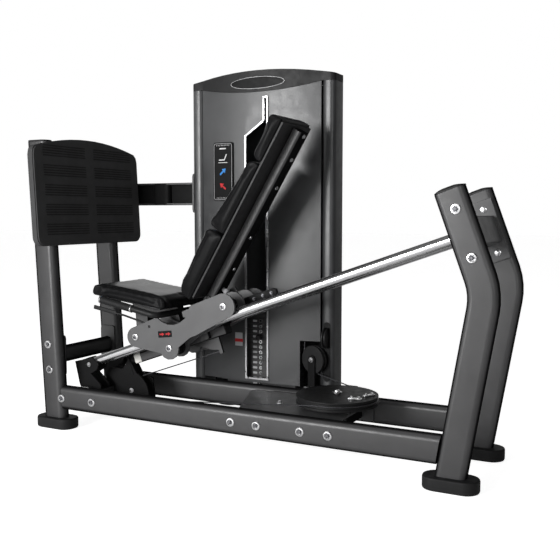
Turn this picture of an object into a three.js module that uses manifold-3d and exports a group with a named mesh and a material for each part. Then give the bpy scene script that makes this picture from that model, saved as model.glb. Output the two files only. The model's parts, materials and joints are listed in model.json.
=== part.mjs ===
// Selectorized leg press: a seat carriage on two inclined guide rods, a fixed
// foot plate and a weight tower. Millimetres, +Z up, +X from the foot plate to
// the rear posts, +Y towards the tower.
import * as THREE from 'three';
import { mergeVertices } from 'three/addons/utils/BufferGeometryUtils.js';
import Module from 'manifold-3d';

const wasm = await Module();
wasm.setup();

// ---------------------------------------------------------------- dimensions
const GAP = 0.4;                 // clearance between touching pieces
const ORIGIN_X = 986.07;          // where the shared origin sits on the layout
const ORIGIN_Y = 324.5;

const TUBE_W = 104;              // flat-sided oval frame tube
const TUBE_T = 56;
const TUBE_R = 22;
const WALL = 3;
const BASE_W = 443;              // outside width over both rails
const YC = BASE_W / 2;           // mid plane of the seat
const RAIL_Z = 130;
const RAIL_H = 100;

const FOOT_L = 190;
const FOOT_W = 100;
const FOOT_H = 45;

const UPRIGHT_X0 = 125;          // front upright axis at floor level
const UPRIGHT_LEAN = 0.0515;     // metres forward per metre of height
const UPRIGHT_TOP = 1196;

const POST_X0 = 1808;            // rear post axis at floor level
const POST_LEAN = 0.1667;
const POST_BEND_Z = 646;
const ROD_DEG = 19.56;           // slope of the guide rods
const ROD_R = 20.5;
const ROD_SIDE = 85;             // guide rod distance from the mid plane
const ROD_X0 = 223;
const ROD_Z0 = 261;
const ROD_LEN = 1686;
const BOX_S = 1720;              // rear cross box, distance up the rods

const PLATE_W = 667;             // foot plate
const PLATE_Z0 = 768;
const PLATE_Z1 = 1172;
const PLATE_ARC = 42;
const PLATE_T = 34;

const BACK_DEG = 31;             // backrest angle from vertical
const PAD_HALF = 124.5;          // half width of the back pads
const SEAT_DEG = 7.5;
const SEAT_X = 288;
const SEAT_Z = 614;
const SEAT_L = 375;
const SEAT_HALF = 160;
const SEAT_T = 47;

const TOWER_X = 872;             // tower centre line
const COL_X = 309.5;             // column centre distance from it
const COL_Y0 = 455;
const COL_D = 104;
const TOWER_TOP = 1428;
const CAP_CROWN = 31;            // rise of the cap's top from its ends to its middle
const CAP_DIP = 28;              // drop of its front edge in the middle
const SHROUD_HALF = 281;
const BOW = 25;                  // how far the covers bow outwards
const STACK_Y = 507;
const STACK_ROD_Y = 531;         // the plates' guide rods sit behind the cable
const PLATE_PITCH = 22.4;
const STACK_Z = 142;
const RESTING = 10;
const LIFTED = 4;

// ---------------------------------------------------------------- helpers
const RAD = Math.PI / 180;
const RC = Math.cos(ROD_DEG * RAD);
const RS = Math.sin(ROD_DEG * RAD);
const v3 = (a) => new THREE.Vector3(a[0], a[1], a[2]);

// point on the rod plane: s up the rods, t square to them, as [x, z]
const onRod = (s, t) => [ROD_X0 + s * RC - t * RS, ROD_Z0 + s * RS + t * RC];
// point on the backrest plane: u up the back, n from front to rear
const BS = Math.sin(BACK_DEG * RAD);
const BC = Math.cos(BACK_DEG * RAD);
const onBack = (u, n) => [u * BS + n * BC, u * BC - n * BS];
// point on the seat plane: p rearwards, q upwards
const SC = Math.cos(SEAT_DEG * RAD);
const SS = Math.sin(SEAT_DEG * RAD);
const onSeat = (p, q) => [SEAT_X + p * SC + q * SS, SEAT_Z - p * SS + q * SC];

function roundRing(w, h, r, n = 3) {
  const ring = [];
  const cx = w / 2 - r;
  const cy = h / 2 - r;
  const corners = [[cx, cy, 0], [-cx, cy, 90], [-cx, -cy, 180], [cx, -cy, 270]];
  for (const [x, y, a] of corners) {
    for (let i = 0; i <= n; i++) {
      const t = (a + 90 * i / n) * RAD;
      ring.push([x + r * Math.cos(t), y + r * Math.sin(t)]);
    }
  }
  return ring;
}

function arc(cx, cy, r, a0, a1, n = 6) {
  const pts = [];
  for (let i = 0; i <= n; i++) {
    const t = (a0 + (a1 - a0) * i / n) * RAD;
    pts.push([cx + r * Math.cos(t), cy + r * Math.sin(t)]);
  }
  return pts;
}

const shifted = (ring, dx, dy) => ring.map(([x, y]) => [x + dx, y + dy]);

// closed three.js geometry to a solid that can be joined and cut
function solid(geometry) {
  const bare = new THREE.BufferGeometry();
  bare.setAttribute('position', geometry.getAttribute('position'));
  bare.setIndex(geometry.getIndex());
  const merged = mergeVertices(bare, 1e-3);
  const p = merged.getAttribute('position').array;
  const idx = merged.getIndex().array;
  const tri = [];
  let volume = 0;
  const corner = (i) => new THREE.Vector3(p[3 * i], p[3 * i + 1], p[3 * i + 2]);
  for (let i = 0; i < idx.length; i += 3) {
    const [a, b, c] = [idx[i], idx[i + 1], idx[i + 2]];
    if (a === b || b === c || c === a) continue;
    volume += corner(a).dot(corner(b).cross(corner(c)));
    tri.push(a, b, c);
  }
  // a mirrored body comes in with its faces turned inwards
  if (volume < 0) {
    for (let i = 0; i < tri.length; i += 3) {
      [tri[i + 1], tri[i + 2]] = [tri[i + 2], tri[i + 1]];
    }
  }
  const mesh = new wasm.Mesh({
    numProp: 3, vertProperties: new Float32Array(p), triVerts: new Uint32Array(tri),
  });
  return new wasm.Manifold(mesh);
}

function geometryOf(body) {
  const { vertProperties, triVerts, numProp } = body.getMesh();
  const pos = new Float32Array(triVerts.length * 3);
  triVerts.forEach((v, i) => {
    for (let k = 0; k < 3; k++) pos[i * 3 + k] = vertProperties[v * numProp + k];
  });
  const geometry = new THREE.BufferGeometry();
  geometry.setAttribute('position', new THREE.BufferAttribute(pos, 3));
  return geometry;
}

const placed = (body, matrix) => solid(geometryOf(body).applyMatrix4(matrix));
const turnZ = (deg, x, y, z) => new THREE.Matrix4().makeTranslation(x, y, z)
  .multiply(new THREE.Matrix4().makeRotationZ(deg * RAD));
const turnY = (deg, x, y, z) => new THREE.Matrix4().makeTranslation(x, y, z)
  .multiply(new THREE.Matrix4().makeRotationY(deg * RAD));
const farSide = (body) => placed(body, new THREE.Matrix4().makeTranslation(0, 2 * YC, 0)
  .multiply(new THREE.Matrix4().makeScale(1, -1, 1)));

function basis(a, b, c, origin) {
  return new THREE.Matrix4().makeBasis(a, b, c).setPosition(origin);
}

function shapeOf(loops) {
  const shape = new THREE.Shape(loops[0].map(([x, y]) => new THREE.Vector2(x, y)));
  for (const hole of loops.slice(1)) {
    shape.holes.push(new THREE.Path(hole.map(([x, y]) => new THREE.Vector2(x, y))));
  }
  return shape;
}

const extruded = (loops, depth) => new THREE.ExtrudeGeometry(shapeOf(loops), { depth, bevelEnabled: false });
const X = new THREE.Vector3(1, 0, 0);
const Y = new THREE.Vector3(0, 1, 0);
const Z = new THREE.Vector3(0, 0, 1);
// prisms from profiles in the XZ, YZ and XY planes; a second loop is a hole
const prismY = (loops, y0, y1) => solid(extruded(loops, y1 - y0)
  .applyMatrix4(basis(X, Z, Y.clone().negate(), v3([0, y1, 0]))));
const prismX = (loops, x0, x1) => solid(extruded(loops, x1 - x0).applyMatrix4(basis(Y, Z, X, v3([x0, 0, 0]))));
const prismZ = (loops, z0, z1) => solid(extruded(loops, z1 - z0).translate(0, 0, z0));
const box = (x0, x1, y0, y1, z0, z1) => solid(new THREE.BoxGeometry(x1 - x0, y1 - y0, z1 - z0)
  .translate((x0 + x1) / 2, (y0 + y1) / 2, (z0 + z1) / 2));

function sideAxis(dir, wide) {
  return v3(wide).addScaledVector(dir, -v3(wide).dot(dir)).normalize();
}

// straight bar of rounded section between two points, hollow when a wall is given
function bar(p0, p1, wide, w, t, r, wall = 0) {
  const dir = v3(p1).sub(v3(p0));
  const length = dir.length();
  dir.normalize();
  const a = sideAxis(dir, wide);
  const loops = [roundRing(w, t, r)];
  if (wall) loops.push(roundRing(w - 2 * wall, t - 2 * wall, r - wall));
  return solid(extruded(loops, length).applyMatrix4(basis(a, dir.clone().cross(a), dir, v3(p0))));
}

// turned part: profile is a list of [distance along the axis, radius]
function turned(p0, dir, profile, n = 16) {
  const d = v3(dir).normalize();
  const a = sideAxis(d, Math.abs(d.z) > 0.9 ? [1, 0, 0] : [0, 0, 1]);
  const pts = profile.map(([h, r]) => new THREE.Vector2(r, h));
  pts.unshift(new THREE.Vector2(0, profile[0][0]));
  pts.push(new THREE.Vector2(0, profile[profile.length - 1][0]));
  return solid(new THREE.LatheGeometry(pts, n).applyMatrix4(basis(a, d, a.clone().cross(d), v3(p0))));
}

function rod(p0, p1, r, n = 14) {
  const d = v3(p1).sub(v3(p0));
  return turned(p0, d.toArray(), [[0, r], [d.length(), r]], n);
}

// path with one station at each given point
class Stations extends THREE.Curve {
  constructor(points) {
    super();
    this.points = points;
  }

  getPointAt(u) {
    return this.points[Math.round(u * (this.points.length - 1))].clone();
  }

  getTangentAt(u) {
    const i = Math.round(u * (this.points.length - 1));
    const prev = this.points[Math.max(i - 1, 0)];
    const next = this.points[Math.min(i + 1, this.points.length - 1)];
    return next.clone().sub(prev).normalize();
  }
}

function swept(loops, points) {
  const steps = points.length - 1;
  const options = { steps, extrudePath: new Stations(points), bevelEnabled: false };
  return solid(new THREE.ExtrudeGeometry(shapeOf(loops), options));
}

// tube bent in the XZ plane, through [x, z] points, at a constant y
function bentTube(path, y, w, t, r, wall) {
  const loops = [roundRing(t, w, r), roundRing(t - 2 * wall, w - 2 * wall, r - wall)];
  return swept(loops, path.map(([x, z]) => v3([x, y, z])));
}

// round cable or tube through 3-D points
const cable = (points, r = 2.5, n = 6) => swept([arc(0, 0, r, 0, 360 - 360 / n, n - 1)], points.map(v3));

const group = new THREE.Group();
const layout = new THREE.Group();
layout.position.set(-ORIGIN_X, -ORIGIN_Y, 0);
group.add(layout);
const LOOKS = {
  frame: [0x2b2c2e, 0.5, 0.3], plate: [0x6b6d70, 0.5, 0.3], chrome: [0xd8dadd, 0.1, 1],
  rubber: [0x161616, 0.8, 0], pad: [0x1c1d1e, 0.5, 0], plastic: [0x202122, 0.6, 0],
  stack: [0x3a3b3d, 0.5, 0.4], cable: [0x55585c, 0.4, 0.8], white: [0xe6e6e2, 0.5, 0],
  board: [0x4a4b4d, 0.6, 0],
};

function add(name, body, look) {
  const geometry = geometryOf(body);
  geometry.computeVertexNormals();
  const [color, roughness, metalness] = LOOKS[look];
  const mesh = new THREE.Mesh(geometry, new THREE.MeshStandardMaterial({ color, roughness, metalness }));
  mesh.name = name;
  layout.add(mesh);
}

function addPair(name, body, look) {
  add(`near_${name}`, body, look);
  add(`far_${name}`, farSide(body), look);
}

// ---------------------------------------------------------------- base frame
const NEAR_Y = TUBE_T / 2;
const uprightX = (z) => UPRIGHT_X0 - UPRIGHT_LEAN * z;
const lowPostX = (z) => POST_X0 + POST_LEAN * z;
const highPostX = (z) => lowPostX(POST_BEND_Z) - (z - POST_BEND_Z) * Math.tan(ROD_DEG * RAD);

// side rails, cut square against the leaning upright and post
{
  const uprightFace = Math.hypot(1, UPRIGHT_LEAN) * TUBE_W / 2 + GAP;
  const postFace = Math.hypot(1, POST_LEAN) * TUBE_W / 2 + GAP;
  const keep = [
    [uprightX(0) + uprightFace, 0],
    [lowPostX(0) - postFace, 0],
    [lowPostX(300) - postFace, 300],
    [uprightX(300) + uprightFace, 300],
  ];
  const rail = bar([100, NEAR_Y, RAIL_Z], [1900, NEAR_Y, RAIL_Z], [0, 0, 1], RAIL_H, TUBE_T, TUBE_R, WALL)
    .intersect(prismY([keep], -50, 150));
  addPair('base_rail', rail, 'frame');
}

// feet
const footPad = (cx, cy, l, w) => prismZ([shifted(roundRing(l, w, w / 2 - 2, 6), cx, cy)], 0, FOOT_H);
addPair('front_foot', footPad(UPRIGHT_X0, NEAR_Y, FOOT_L, FOOT_W), 'rubber');
addPair('rear_foot', footPad(POST_X0 + 7, NEAR_Y, FOOT_L, FOOT_W), 'rubber');

// front uprights
{
  const z0 = FOOT_H + GAP;
  const tube = bar([uprightX(0), NEAR_Y, 0], [uprightX(1400), NEAR_Y, 1400], [1, 0, 0], TUBE_W, TUBE_T, TUBE_R, WALL)
    .intersect(box(-200, 400, -50, 150, z0, UPRIGHT_TOP));
  addPair('front_upright', tube, 'frame');
}

// rear posts: leaning out, a rounded bend, then leaning back square to the rods
{
  const top = onRod(BOX_S, 144);
  const path = [[lowPostX(-40), -40]];
  const low = Math.atan(POST_LEAN);
  const high = ROD_DEG * RAD;
  const radius = 210;
  const reach = radius * Math.tan((low + high) / 2);
  const bx = lowPostX(POST_BEND_Z);
  const start = [bx - reach * Math.sin(low), POST_BEND_Z - reach * Math.cos(low)];
  const cx = start[0] - radius * Math.cos(low);
  const cz = start[1] + radius * Math.sin(low);
  path.push(...arc(cx, cz, radius, -low / RAD, high / RAD, 4), top);
  const post = bentTube(path, NEAR_Y, TUBE_W, TUBE_T, TUBE_R, WALL)
    .intersect(box(1500, 2200, -50, 150, FOOT_H + GAP, 2000));
  addPair('rear_post', post, 'frame');
}

// cross members between the rails: a tube with a bolting flange at each end
function crossMember(x, flange, extra) {
  const y0 = TUBE_T + GAP;
  const y1 = BASE_W - TUBE_T - GAP;
  const z0 = RAIL_Z - 30;
  let body = bar([x, y0 + 2, z0 + 30], [x, y1 - 2, z0 + 30], [1, 0, 0], 70, 60, 12);
  for (const y of [y0, y1 - 8]) {
    body = body.add(prismY([shifted(roundRing(flange, 76, 10, 2), x, z0 + 30)], y, y + 8));
  }
  return extra ? body.add(extra) : body;
}
const DISC_X = 1328;
add('front_cross_member', crossMember(254, 220), 'frame');
add('middle_cross_member', crossMember(1048, 164), 'frame');
add('rear_cross_member', crossMember(1333, 164, rod([DISC_X, YC, 150], [DISC_X, YC, 188], 34)
  .add(rod([DISC_X, YC, 180], [DISC_X, YC, 232], 12))), 'frame');

// plate on the cross members that steadies the disc
{
  const outline = [[988, 72], [1400, 72], [1400, 376], [905, 376], [886, 352]];
  add('disc_mount_plate', prismZ([outline], 160.4, 168)
    .subtract(rod([DISC_X, YC, 140], [DISC_X, YC, 200], 35, 24)), 'frame');
}

// crossbar between the front uprights, with flanges on their inner faces
{
  const z = 300;
  const x = uprightX(z);
  const y0 = TUBE_T + GAP;
  const y1 = BASE_W - TUBE_T - GAP;
  let body = bar([x, y0 + 2, z], [x, y1 - 2, z], [0, 0, 1], 72, 50, 22);
  for (const y of [y0, y1 - 8]) {
    body = body.add(prismY([shifted(roundRing(78, 172, 12, 2), x, z)], y, y + 8));
  }
  add('front_crossbar', body, 'frame');
}

// box between the rear posts that carries the upper ends of the guide rods
{
  const y0 = TUBE_T + GAP;
  const y1 = BASE_W - TUBE_T - GAP;
  const [x, z] = onRod(BOX_S, 0);
  let body = bar([x, y0 + 2, z], [x, y1 - 2, z], [-RS, 0, RC], 100, 66, 8);
  const flange = (half, thick) => [
    onRod(BOX_S - thick, -half), onRod(BOX_S + thick, -half), onRod(BOX_S + thick, half), onRod(BOX_S - thick, half),
  ];
  for (const y of [y0, y1 - 8]) body = body.add(prismY([flange(112, 42)], y, y + 8));
  add('rear_cross_box', body, 'frame');
}

// guide rods and the bracket that holds their lower ends
{
  const y = YC - ROD_SIDE;
  const at = (s, t = 0) => {
    const [x, z] = onRod(s, t);
    return [x, y, z];
  };
  addPair('guide_rod', turned(at(-28), [RC, 0, RS], [[0, 16], [3, ROD_R], [ROD_LEN + 28, ROD_R]], 24), 'chrome');

  // socket blocks on side plates, joined by a plate on the cross member
  let body = box(190, 249, YC - 118, YC + 118, 160.4, 168);
  const cheek = [[156, 268], [250, 292], [282, 264], [276, 243], [242, 222], [294, 178], [294, 160.4],
    [185, 160.4], [179, 174]];
  for (const side of [-1, 1]) {
    const c = YC + side * ROD_SIDE;
    body = body.add(prismY([cheek], c - 30, c - 22)).add(prismY([cheek], c + 22, c + 30));
    body = body.add(bar([...at(-36, 0)].map((k, i) => (i === 1 ? c : k)),
      [...at(16, 0)].map((k, i) => (i === 1 ? c : k)), [0, 1, 0], 52, 52, 10));
  }
  for (const side of [-1, 1]) {
    const c = YC + side * ROD_SIDE;
    const p0 = onRod(-28 - GAP, 0);
    const p1 = onRod(200, 0);
    body = body.subtract(rod([p0[0], c, p0[1]], [p1[0], c, p1[1]], ROD_R + 2 * GAP, 20));
  }
  add('rod_lower_bracket', body, 'frame');
}

// ---------------------------------------------------------------- foot plate
{
  const lean = Math.atan(UPRIGHT_LEAN) / RAD;
  const face = TUBE_W / 2 * Math.hypot(1, UPRIGHT_LEAN);
  const half = PLATE_W / 2;
  const outline = (grow) => {
    const w = half - grow;
    const z0 = PLATE_Z0 + grow;
    const z1 = PLATE_Z1 - grow;
    const r = 34 - grow / 2;
    const top = [];
    for (let i = -6; i <= 6; i++) {
      const y = (w - r * 0.55) * i / 6;
      top.push([YC - y, z1 + PLATE_ARC * (1 - (i / 6) ** 2)]);
    }
    return [
      ...arc(YC - w + r, z0 + r, r, 180, 270, 5),
      ...arc(YC + w - r, z0 + r, r, 270, 360, 5),
      [YC + w, z1 - r], [YC + w - r * 0.16, z1 - r * 0.38],
      ...top,
      [YC - w + r * 0.16, z1 - r * 0.38], [YC - w, z1 - r],
    ];
  };
  // steel backing and tread are built upright and leaned about the floor line
  const place = (body) => placed(body, turnY(-lean, UPRIGHT_X0 + face, 0, 0));
  const tread = prismX([outline(4)], 6 + GAP, 6 + GAP + PLATE_T)
    .add(prismX([outline(0)], 6 + GAP + 5, 6 + GAP + PLATE_T - 5))
    .add(prismX([outline(30)], GAP, 10));
  add('foot_plate', place(tread), 'plastic');
}

// ---------------------------------------------------------------- carriage
const CAR_S0 = 211;              // lower end of the carriage tube
const CAR_S1 = 652;
const CAR_T = -41;
const AXLES = [[297, 40], [442, -47], [740, 39]];
const AXLE_R = 8;
const plateOutline = () => {
  const [a, b, c] = AXLES.map(([s, t]) => onRod(s, t));
  const scoop = arc(663, 553, 94, 226, 352, 7);
  return [
    ...arc(a[0], a[1], 41, 262, 120, 6),
    ...scoop,
    [825, 567],
    ...arc(c[0], c[1], 51, 100, -40, 6),
    [777, 423], [757, 416],
    ...arc(b[0], b[1], 46, 10, -150, 6),
  ];
};
{
  const y = YC - ROD_SIDE;
  let plate = prismY([plateOutline()], 94, 102).add(prismY([plateOutline()], 170, 178));
  const low = onRod(585, 62);
  plate = plate.add(bar([low[0], 96, low[1]], [low[0], 176, low[1]], [RC, 0, RS], 70, 26, 6));
  for (const [s, t] of AXLES) {
    const [x, z] = onRod(s, t);
    plate = plate.subtract(rod([x, 80, z], [x, 190, z], AXLE_R + 2 * GAP, 12));
  }
  plate = plate.subtract(rod([560, 80, 446], [560, 120, 446], 6.4, 16));
  addPair('side_plate', plate, 'plate');

  // one grooved roller over each rod on a shared axle, turning as one piece
  const names = ['front_rollers', 'lower_rollers', 'rear_rollers'];
  AXLES.forEach(([s, t], i) => {
    const [x, z] = onRod(s, t);
    const groove = Math.abs(t) - ROD_R - GAP;
    const spool = (c) => [[c - 25, AXLE_R], [c - 25, groove + 8], [c - 19.4, groove + 8], [c - 19.4, groove],
      [c + 19.4, groove], [c + 19.4, groove + 8], [c + 25, groove + 8], [c + 25, AXLE_R]];
    const y0 = 94.4;
    const profile = [[0, AXLE_R], ...spool(y - y0), ...spool(2 * YC - y - y0), [2 * (YC - y0), AXLE_R]];
    add(names[i], turned([x, y0, z], [0, 1, 0], profile, 16), 'plastic');
  });
}

// square carriage tube, cross tubes to both side plates and the backrest ears
const PIVOT = onBack(880, 385);
const EAR_Y = 38;
const EAR_T = 5;
{
  const at = (s, t, y) => {
    const [x, z] = onRod(s, t);
    return [x, y, z];
  };
  let body = bar(at(CAR_S0, CAR_T, YC), at(CAR_S1, CAR_T, YC), [0, 1, 0], 46, 40, 6, 3);
  const inner = bar(at(CAR_S0 - 5, CAR_T, YC), at(CAR_S1 + 5, CAR_T, YC), [0, 1, 0], 40, 34, 3);
  for (const s of [360, 560]) {
    const side = 178 + GAP;
    const cross = bar(at(s, CAR_T + (s > 500 ? 0 : 2), side), at(s, CAR_T + (s > 500 ? 0 : 2), 2 * YC - side),
      [RC, 0, RS], 44, 32, 6);
    body = body.add(cross.subtract(inner));
  }
  // ears either side of the backrest tube on a cross plate
  const plate = [onRod(590, CAR_T + 19), onRod(652, CAR_T + 19), onRod(652, CAR_T + 27), onRod(590, CAR_T + 27)];
  body = body.add(prismY([plate], YC - EAR_Y - EAR_T, YC + EAR_Y + EAR_T));
  const ear = [onRod(590, CAR_T + 19), onRod(652, CAR_T + 19), ...arc(PIVOT[0], PIVOT[1], 18, -20, 190, 6)];
  for (const side of [-1, 1]) {
    const y = YC + side * (EAR_Y + EAR_T / 2);
    body = body.add(prismY([ear], y - EAR_T / 2, y + EAR_T / 2));
  }
  body = body.subtract(rod([PIVOT[0], YC - 80, PIVOT[1]], [PIVOT[0], YC + 80, PIVOT[1]], 8.4));
  // quadrant plate that sets the recline
  const quad = [...arc(PIVOT[0], PIVOT[1], 96, 4, 34, 5), ...arc(PIVOT[0], PIVOT[1], 14, 34, 4, 2)];
  body = body.add(prismY([quad], YC + EAR_Y, YC + EAR_Y + EAR_T)
    .subtract(rod([PIVOT[0], YC, PIVOT[1]], [PIVOT[0], YC + 80, PIVOT[1]], 8.4)));
  // lug for the cable under the tube
  const lug = [onRod(480, CAR_T - 18), onRod(602, CAR_T - 18), onRod(602, -128), onRod(586, -128),
    onRod(586, -110), onRod(560, -104), onRod(480, -66)];
  body = body.add(prismY([lug], YC - 5, YC + 5));
  const [ax, az] = onRod(AXLES[1][0], AXLES[1][1]);
  body = body.subtract(rod([ax, YC - 60, az], [ax, YC + 60, az], AXLE_R + 2 * GAP, 12));
  add('carriage_tube', body, 'frame');

  add('bumper', bar(at(CAR_S0 - 35, CAR_T, YC), at(CAR_S0 - GAP, CAR_T, YC), [0, 1, 0], 46, 40, 7), 'white');
}

// seat: steel pan and legs, then the cushion
{
  const tubeTop = (x) => {
    const s = (x - ROD_X0 - (CAR_T + 20 + GAP) * -RS) / RC;
    return onRod(s, CAR_T + 20 + GAP)[1];
  };
  const panTop = -SEAT_T - GAP;
  const pan = [onSeat(24, panTop), onSeat(24, panTop - 7), onSeat(336, panTop - 7), onSeat(336, panTop)];
  const legs = [
    [424, tubeTop(424)], [474, tubeTop(474)], [474, 470], [486, 482], [590, 470], [600, 458],
    [600, tubeTop(600)], [654, tubeTop(654)], onSeat(352 - 6, panTop - 4), onSeat(90, panTop - 4), [410, 500],
  ];
  const body = prismY([pan], YC - 128, YC + 128).add(prismY([legs], YC - 23, YC + 23));
  add('seat_frame', body, 'frame');
  const cushion = [
    onSeat(6, -SEAT_T), onSeat(SEAT_L - 6, -SEAT_T), onSeat(SEAT_L, -SEAT_T + 8), onSeat(SEAT_L, -14),
    onSeat(SEAT_L - 10, -2), onSeat(SEAT_L - 26, 0), onSeat(30, 0), onSeat(12, -4), onSeat(2, -16), onSeat(0, -SEAT_T + 8),
  ];
  const plan = shifted(roundRing(SEAT_L * SC + 12, 2 * SEAT_HALF, 26, 6), SEAT_X + SEAT_L * SC / 2 - 2, YC);
  const seat = prismY([cushion], YC - SEAT_HALF, YC + SEAT_HALF).intersect(prismZ([plan], 400, 700));
  add('seat_pad', seat, 'pad');
}

// hand grips beside the seat: bent tube to the seat legs, rubber sleeve on it
{
  const y = 43;
  const path = [[352, y, 553.5], [604, y, 505.5]];
  for (let i = 1; i <= 4; i++) {
    const t = i * 22.5 * RAD;
    path.push([604 + 27 * Math.sin(t), y + 27 * (1 - Math.cos(t)), 505.5 - 5 * Math.sin(t)]);
  }
  path.push([631, YC - 23 - GAP, 500]);
  const tube = cable(path, 13, 12);
  const d = v3([252, 0, -48]).normalize();
  const grip = turned([356, y, 553.5 - 4 * 48 / 252], d.toArray(), [[0, 14.6], [3, 15.6], [165, 15.6], [168, 14.6]], 12);
  addPair('handle', tube.add(grip), 'rubber');
}

// lever that releases the backrest
{
  const rodPart = cable([[560, 107.5, 446], [510, 107.5, 462], [425, 107.5, 482], [360, 107.5, 493]], 4.4, 8);
  const blade = bar([385, 107.5, 489], [268, 107.5, 509], [0, 0, 1], 17, 8, 3.4);
  const boss = rod([560, 96, 446], [560, 110, 446], 6, 16).add(rod([560, 104, 446], [560, 110, 446], 11, 16));
  add('adjust_lever', rodPart.add(blade).add(boss), 'rubber');
}

// backrest: frame tube with its pivot pin, board, and three cushions
{
  const at = (u, n) => {
    const [x, z] = onBack(u, n);
    return [x, YC, z];
  };
  let tube = bar(at(850, 385), at(1640, 385), [0, 1, 0], 74, 40, 9);
  tube = tube.add(rod([PIVOT[0], YC - 43, PIVOT[1]], [PIVOT[0], YC + 43, PIVOT[1]], 8));
  add('back_frame', tube, 'frame');
  const slab = (loop, half) => prismY([loop.map(([u, n]) => onBack(u, n))], YC - half, YC + half);
  add('back_board', slab([[884, 355.4], [1650, 355.4], [1650, 364.6], [884, 364.6]], PAD_HALF - 6), 'board');
  add('head_pad', slab([[1480, 355], [1480, 330], [1486, 318], [1498, 311], [1640, 299], [1654, 302], [1661, 314],
    [1661, 355]], PAD_HALF), 'pad');
  add('back_pad', slab([[1168, 355], [1166, 292], [1172, 281], [1184, 278], [1448, 306], [1466, 314], [1474, 330],
    [1474, 355]], PAD_HALF), 'pad');
  add('lumbar_pad', slab([[866, 355], [866, 318], [874, 300], [890, 290], [917, 283], [1038, 276.5], [1144, 277],
    [1156, 281], [1162, 292], [1162, 355]], PAD_HALF), 'pad');
}

// ---------------------------------------------------------------- cable drive
const PULLEY_X = 385;            // front pulley
const PULLEY_Z = 146;
const PULLEY_R = 42;
const DISC_R = 150;
const DISC_Z = 211;
const LOW_X = 1130;              // pulley at the foot of the tower
const LOW_Y = 445;
const LOW_Z = 303;
const LOW_R = 52;
const TOP_R = 45;
const TOP_Z = 1320;
const CR = 2.5;                  // cable radius

function pulley(centre, axis, r, depth, half, bore, groove = 2.7) {
  const a = v3(axis);
  const p0 = v3(centre).addScaledVector(a, -half).toArray();
  const body = turned(p0, axis, [[0, r + depth], [half - groove - 1.3, r + depth], [half - groove, r], [half + groove, r],
    [half + groove + 1.3, r + depth], [2 * half, r + depth]], 20);
  if (!bore) return body;
  const q0 = v3(centre).addScaledVector(a, -half - 5).toArray();
  const q1 = v3(centre).addScaledVector(a, half + 5).toArray();
  return body.subtract(rod(q0, q1, bore, 12));
}

// front pulley between two guard cheeks on the front cross member
{
  add('front_pulley', pulley([PULLEY_X, YC, PULLEY_Z], [0, 1, 0], PULLEY_R, 6, 14, 10.6, 9), 'plastic');
  const cheek = [[289.6, 104], [289.6, 160.6], [252, 160.6], [250, 210], [272, 236], [300, 236],
    ...arc(372, 128, 104, 92, -16, 7), [400, 96], [330, 96]];
  let body = prismY([cheek], YC - 24, YC - 18).add(prismY([cheek], YC + 18, YC + 24));
  body = body.add(box(252, 300, YC - 22, YC + 22, 160.6, 200)).add(box(289.6, 322, YC - 22, YC + 22, 104, 156));
  body = body.add(rod([PULLEY_X, YC - 22, PULLEY_Z], [PULLEY_X, YC + 22, PULLEY_Z], 10));
  // stop for the carriage bumper
  const stop = [onRod(142, CAR_T - 60), onRod(150, CAR_T - 60), onRod(150, CAR_T + 24), onRod(142, CAR_T + 24)];
  const web = [onRod(142, CAR_T + 10), onRod(150, CAR_T + 10), onRod(170, -128), onRod(120, -128), onRod(96, -70)];
  const buffer0 = onRod(148, CAR_T);
  body = body.add(turned([buffer0[0], YC, buffer0[1]], [RC, 0, RS], [[0, 19], [20, 19], [26, 14]], 20));
  body = body.add(prismY([stop], YC - 26, YC + 26)).add(prismY([web], YC - 24, YC - 18)).add(prismY([web], YC + 18, YC + 24));
  add('front_pulley_guard', body, 'plastic');
}

// horizontal disc that turns the cable round to the tower
add('base_disc', turned([DISC_X, YC, 192], [0, 0, 1], [[0, 154.6], [8, 154.6], [9, DISC_R], [26, DISC_R],
  [28, 154.6], [34, 154.6]], 40).subtract(rod([DISC_X, YC, 150], [DISC_X, YC, 250], 12.8)), 'plastic');

// pulley at the foot of the tower, turned to face the disc; its fork belongs to the tower base
const exit = Math.hypot(LOW_X - DISC_X, LOW_Y - YC);
const EXIT_DEG = Math.atan2(LOW_Y - YC, LOW_X - DISC_X) / RAD - Math.acos((DISC_R + CR + GAP) / exit) / RAD;
const atLow = (body) => placed(body, turnZ(EXIT_DEG, LOW_X, LOW_Y, LOW_Z));
add('low_pulley', atLow(pulley([0, 0, 0], [1, 0, 0], LOW_R, 6, 12, 10.6)), 'plastic');
let lowFork;
{
  const foot = 190 - LOW_Z;
  const arm = [...arc(0, 0, 20, 20, 160, 4), [-18, foot], [18, foot]];
  lowFork = atLow(rod([-17, 0, 0], [17, 0, 0], 10)
    .add(prismX([arm], -19, -13)).add(prismX([arm], 13, 19)));
  lowFork = lowFork.add(box(1096, 1152, 418, 478, 184, 192)).add(box(1100, 1148, 446, 478, 120, 190));
}

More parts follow.
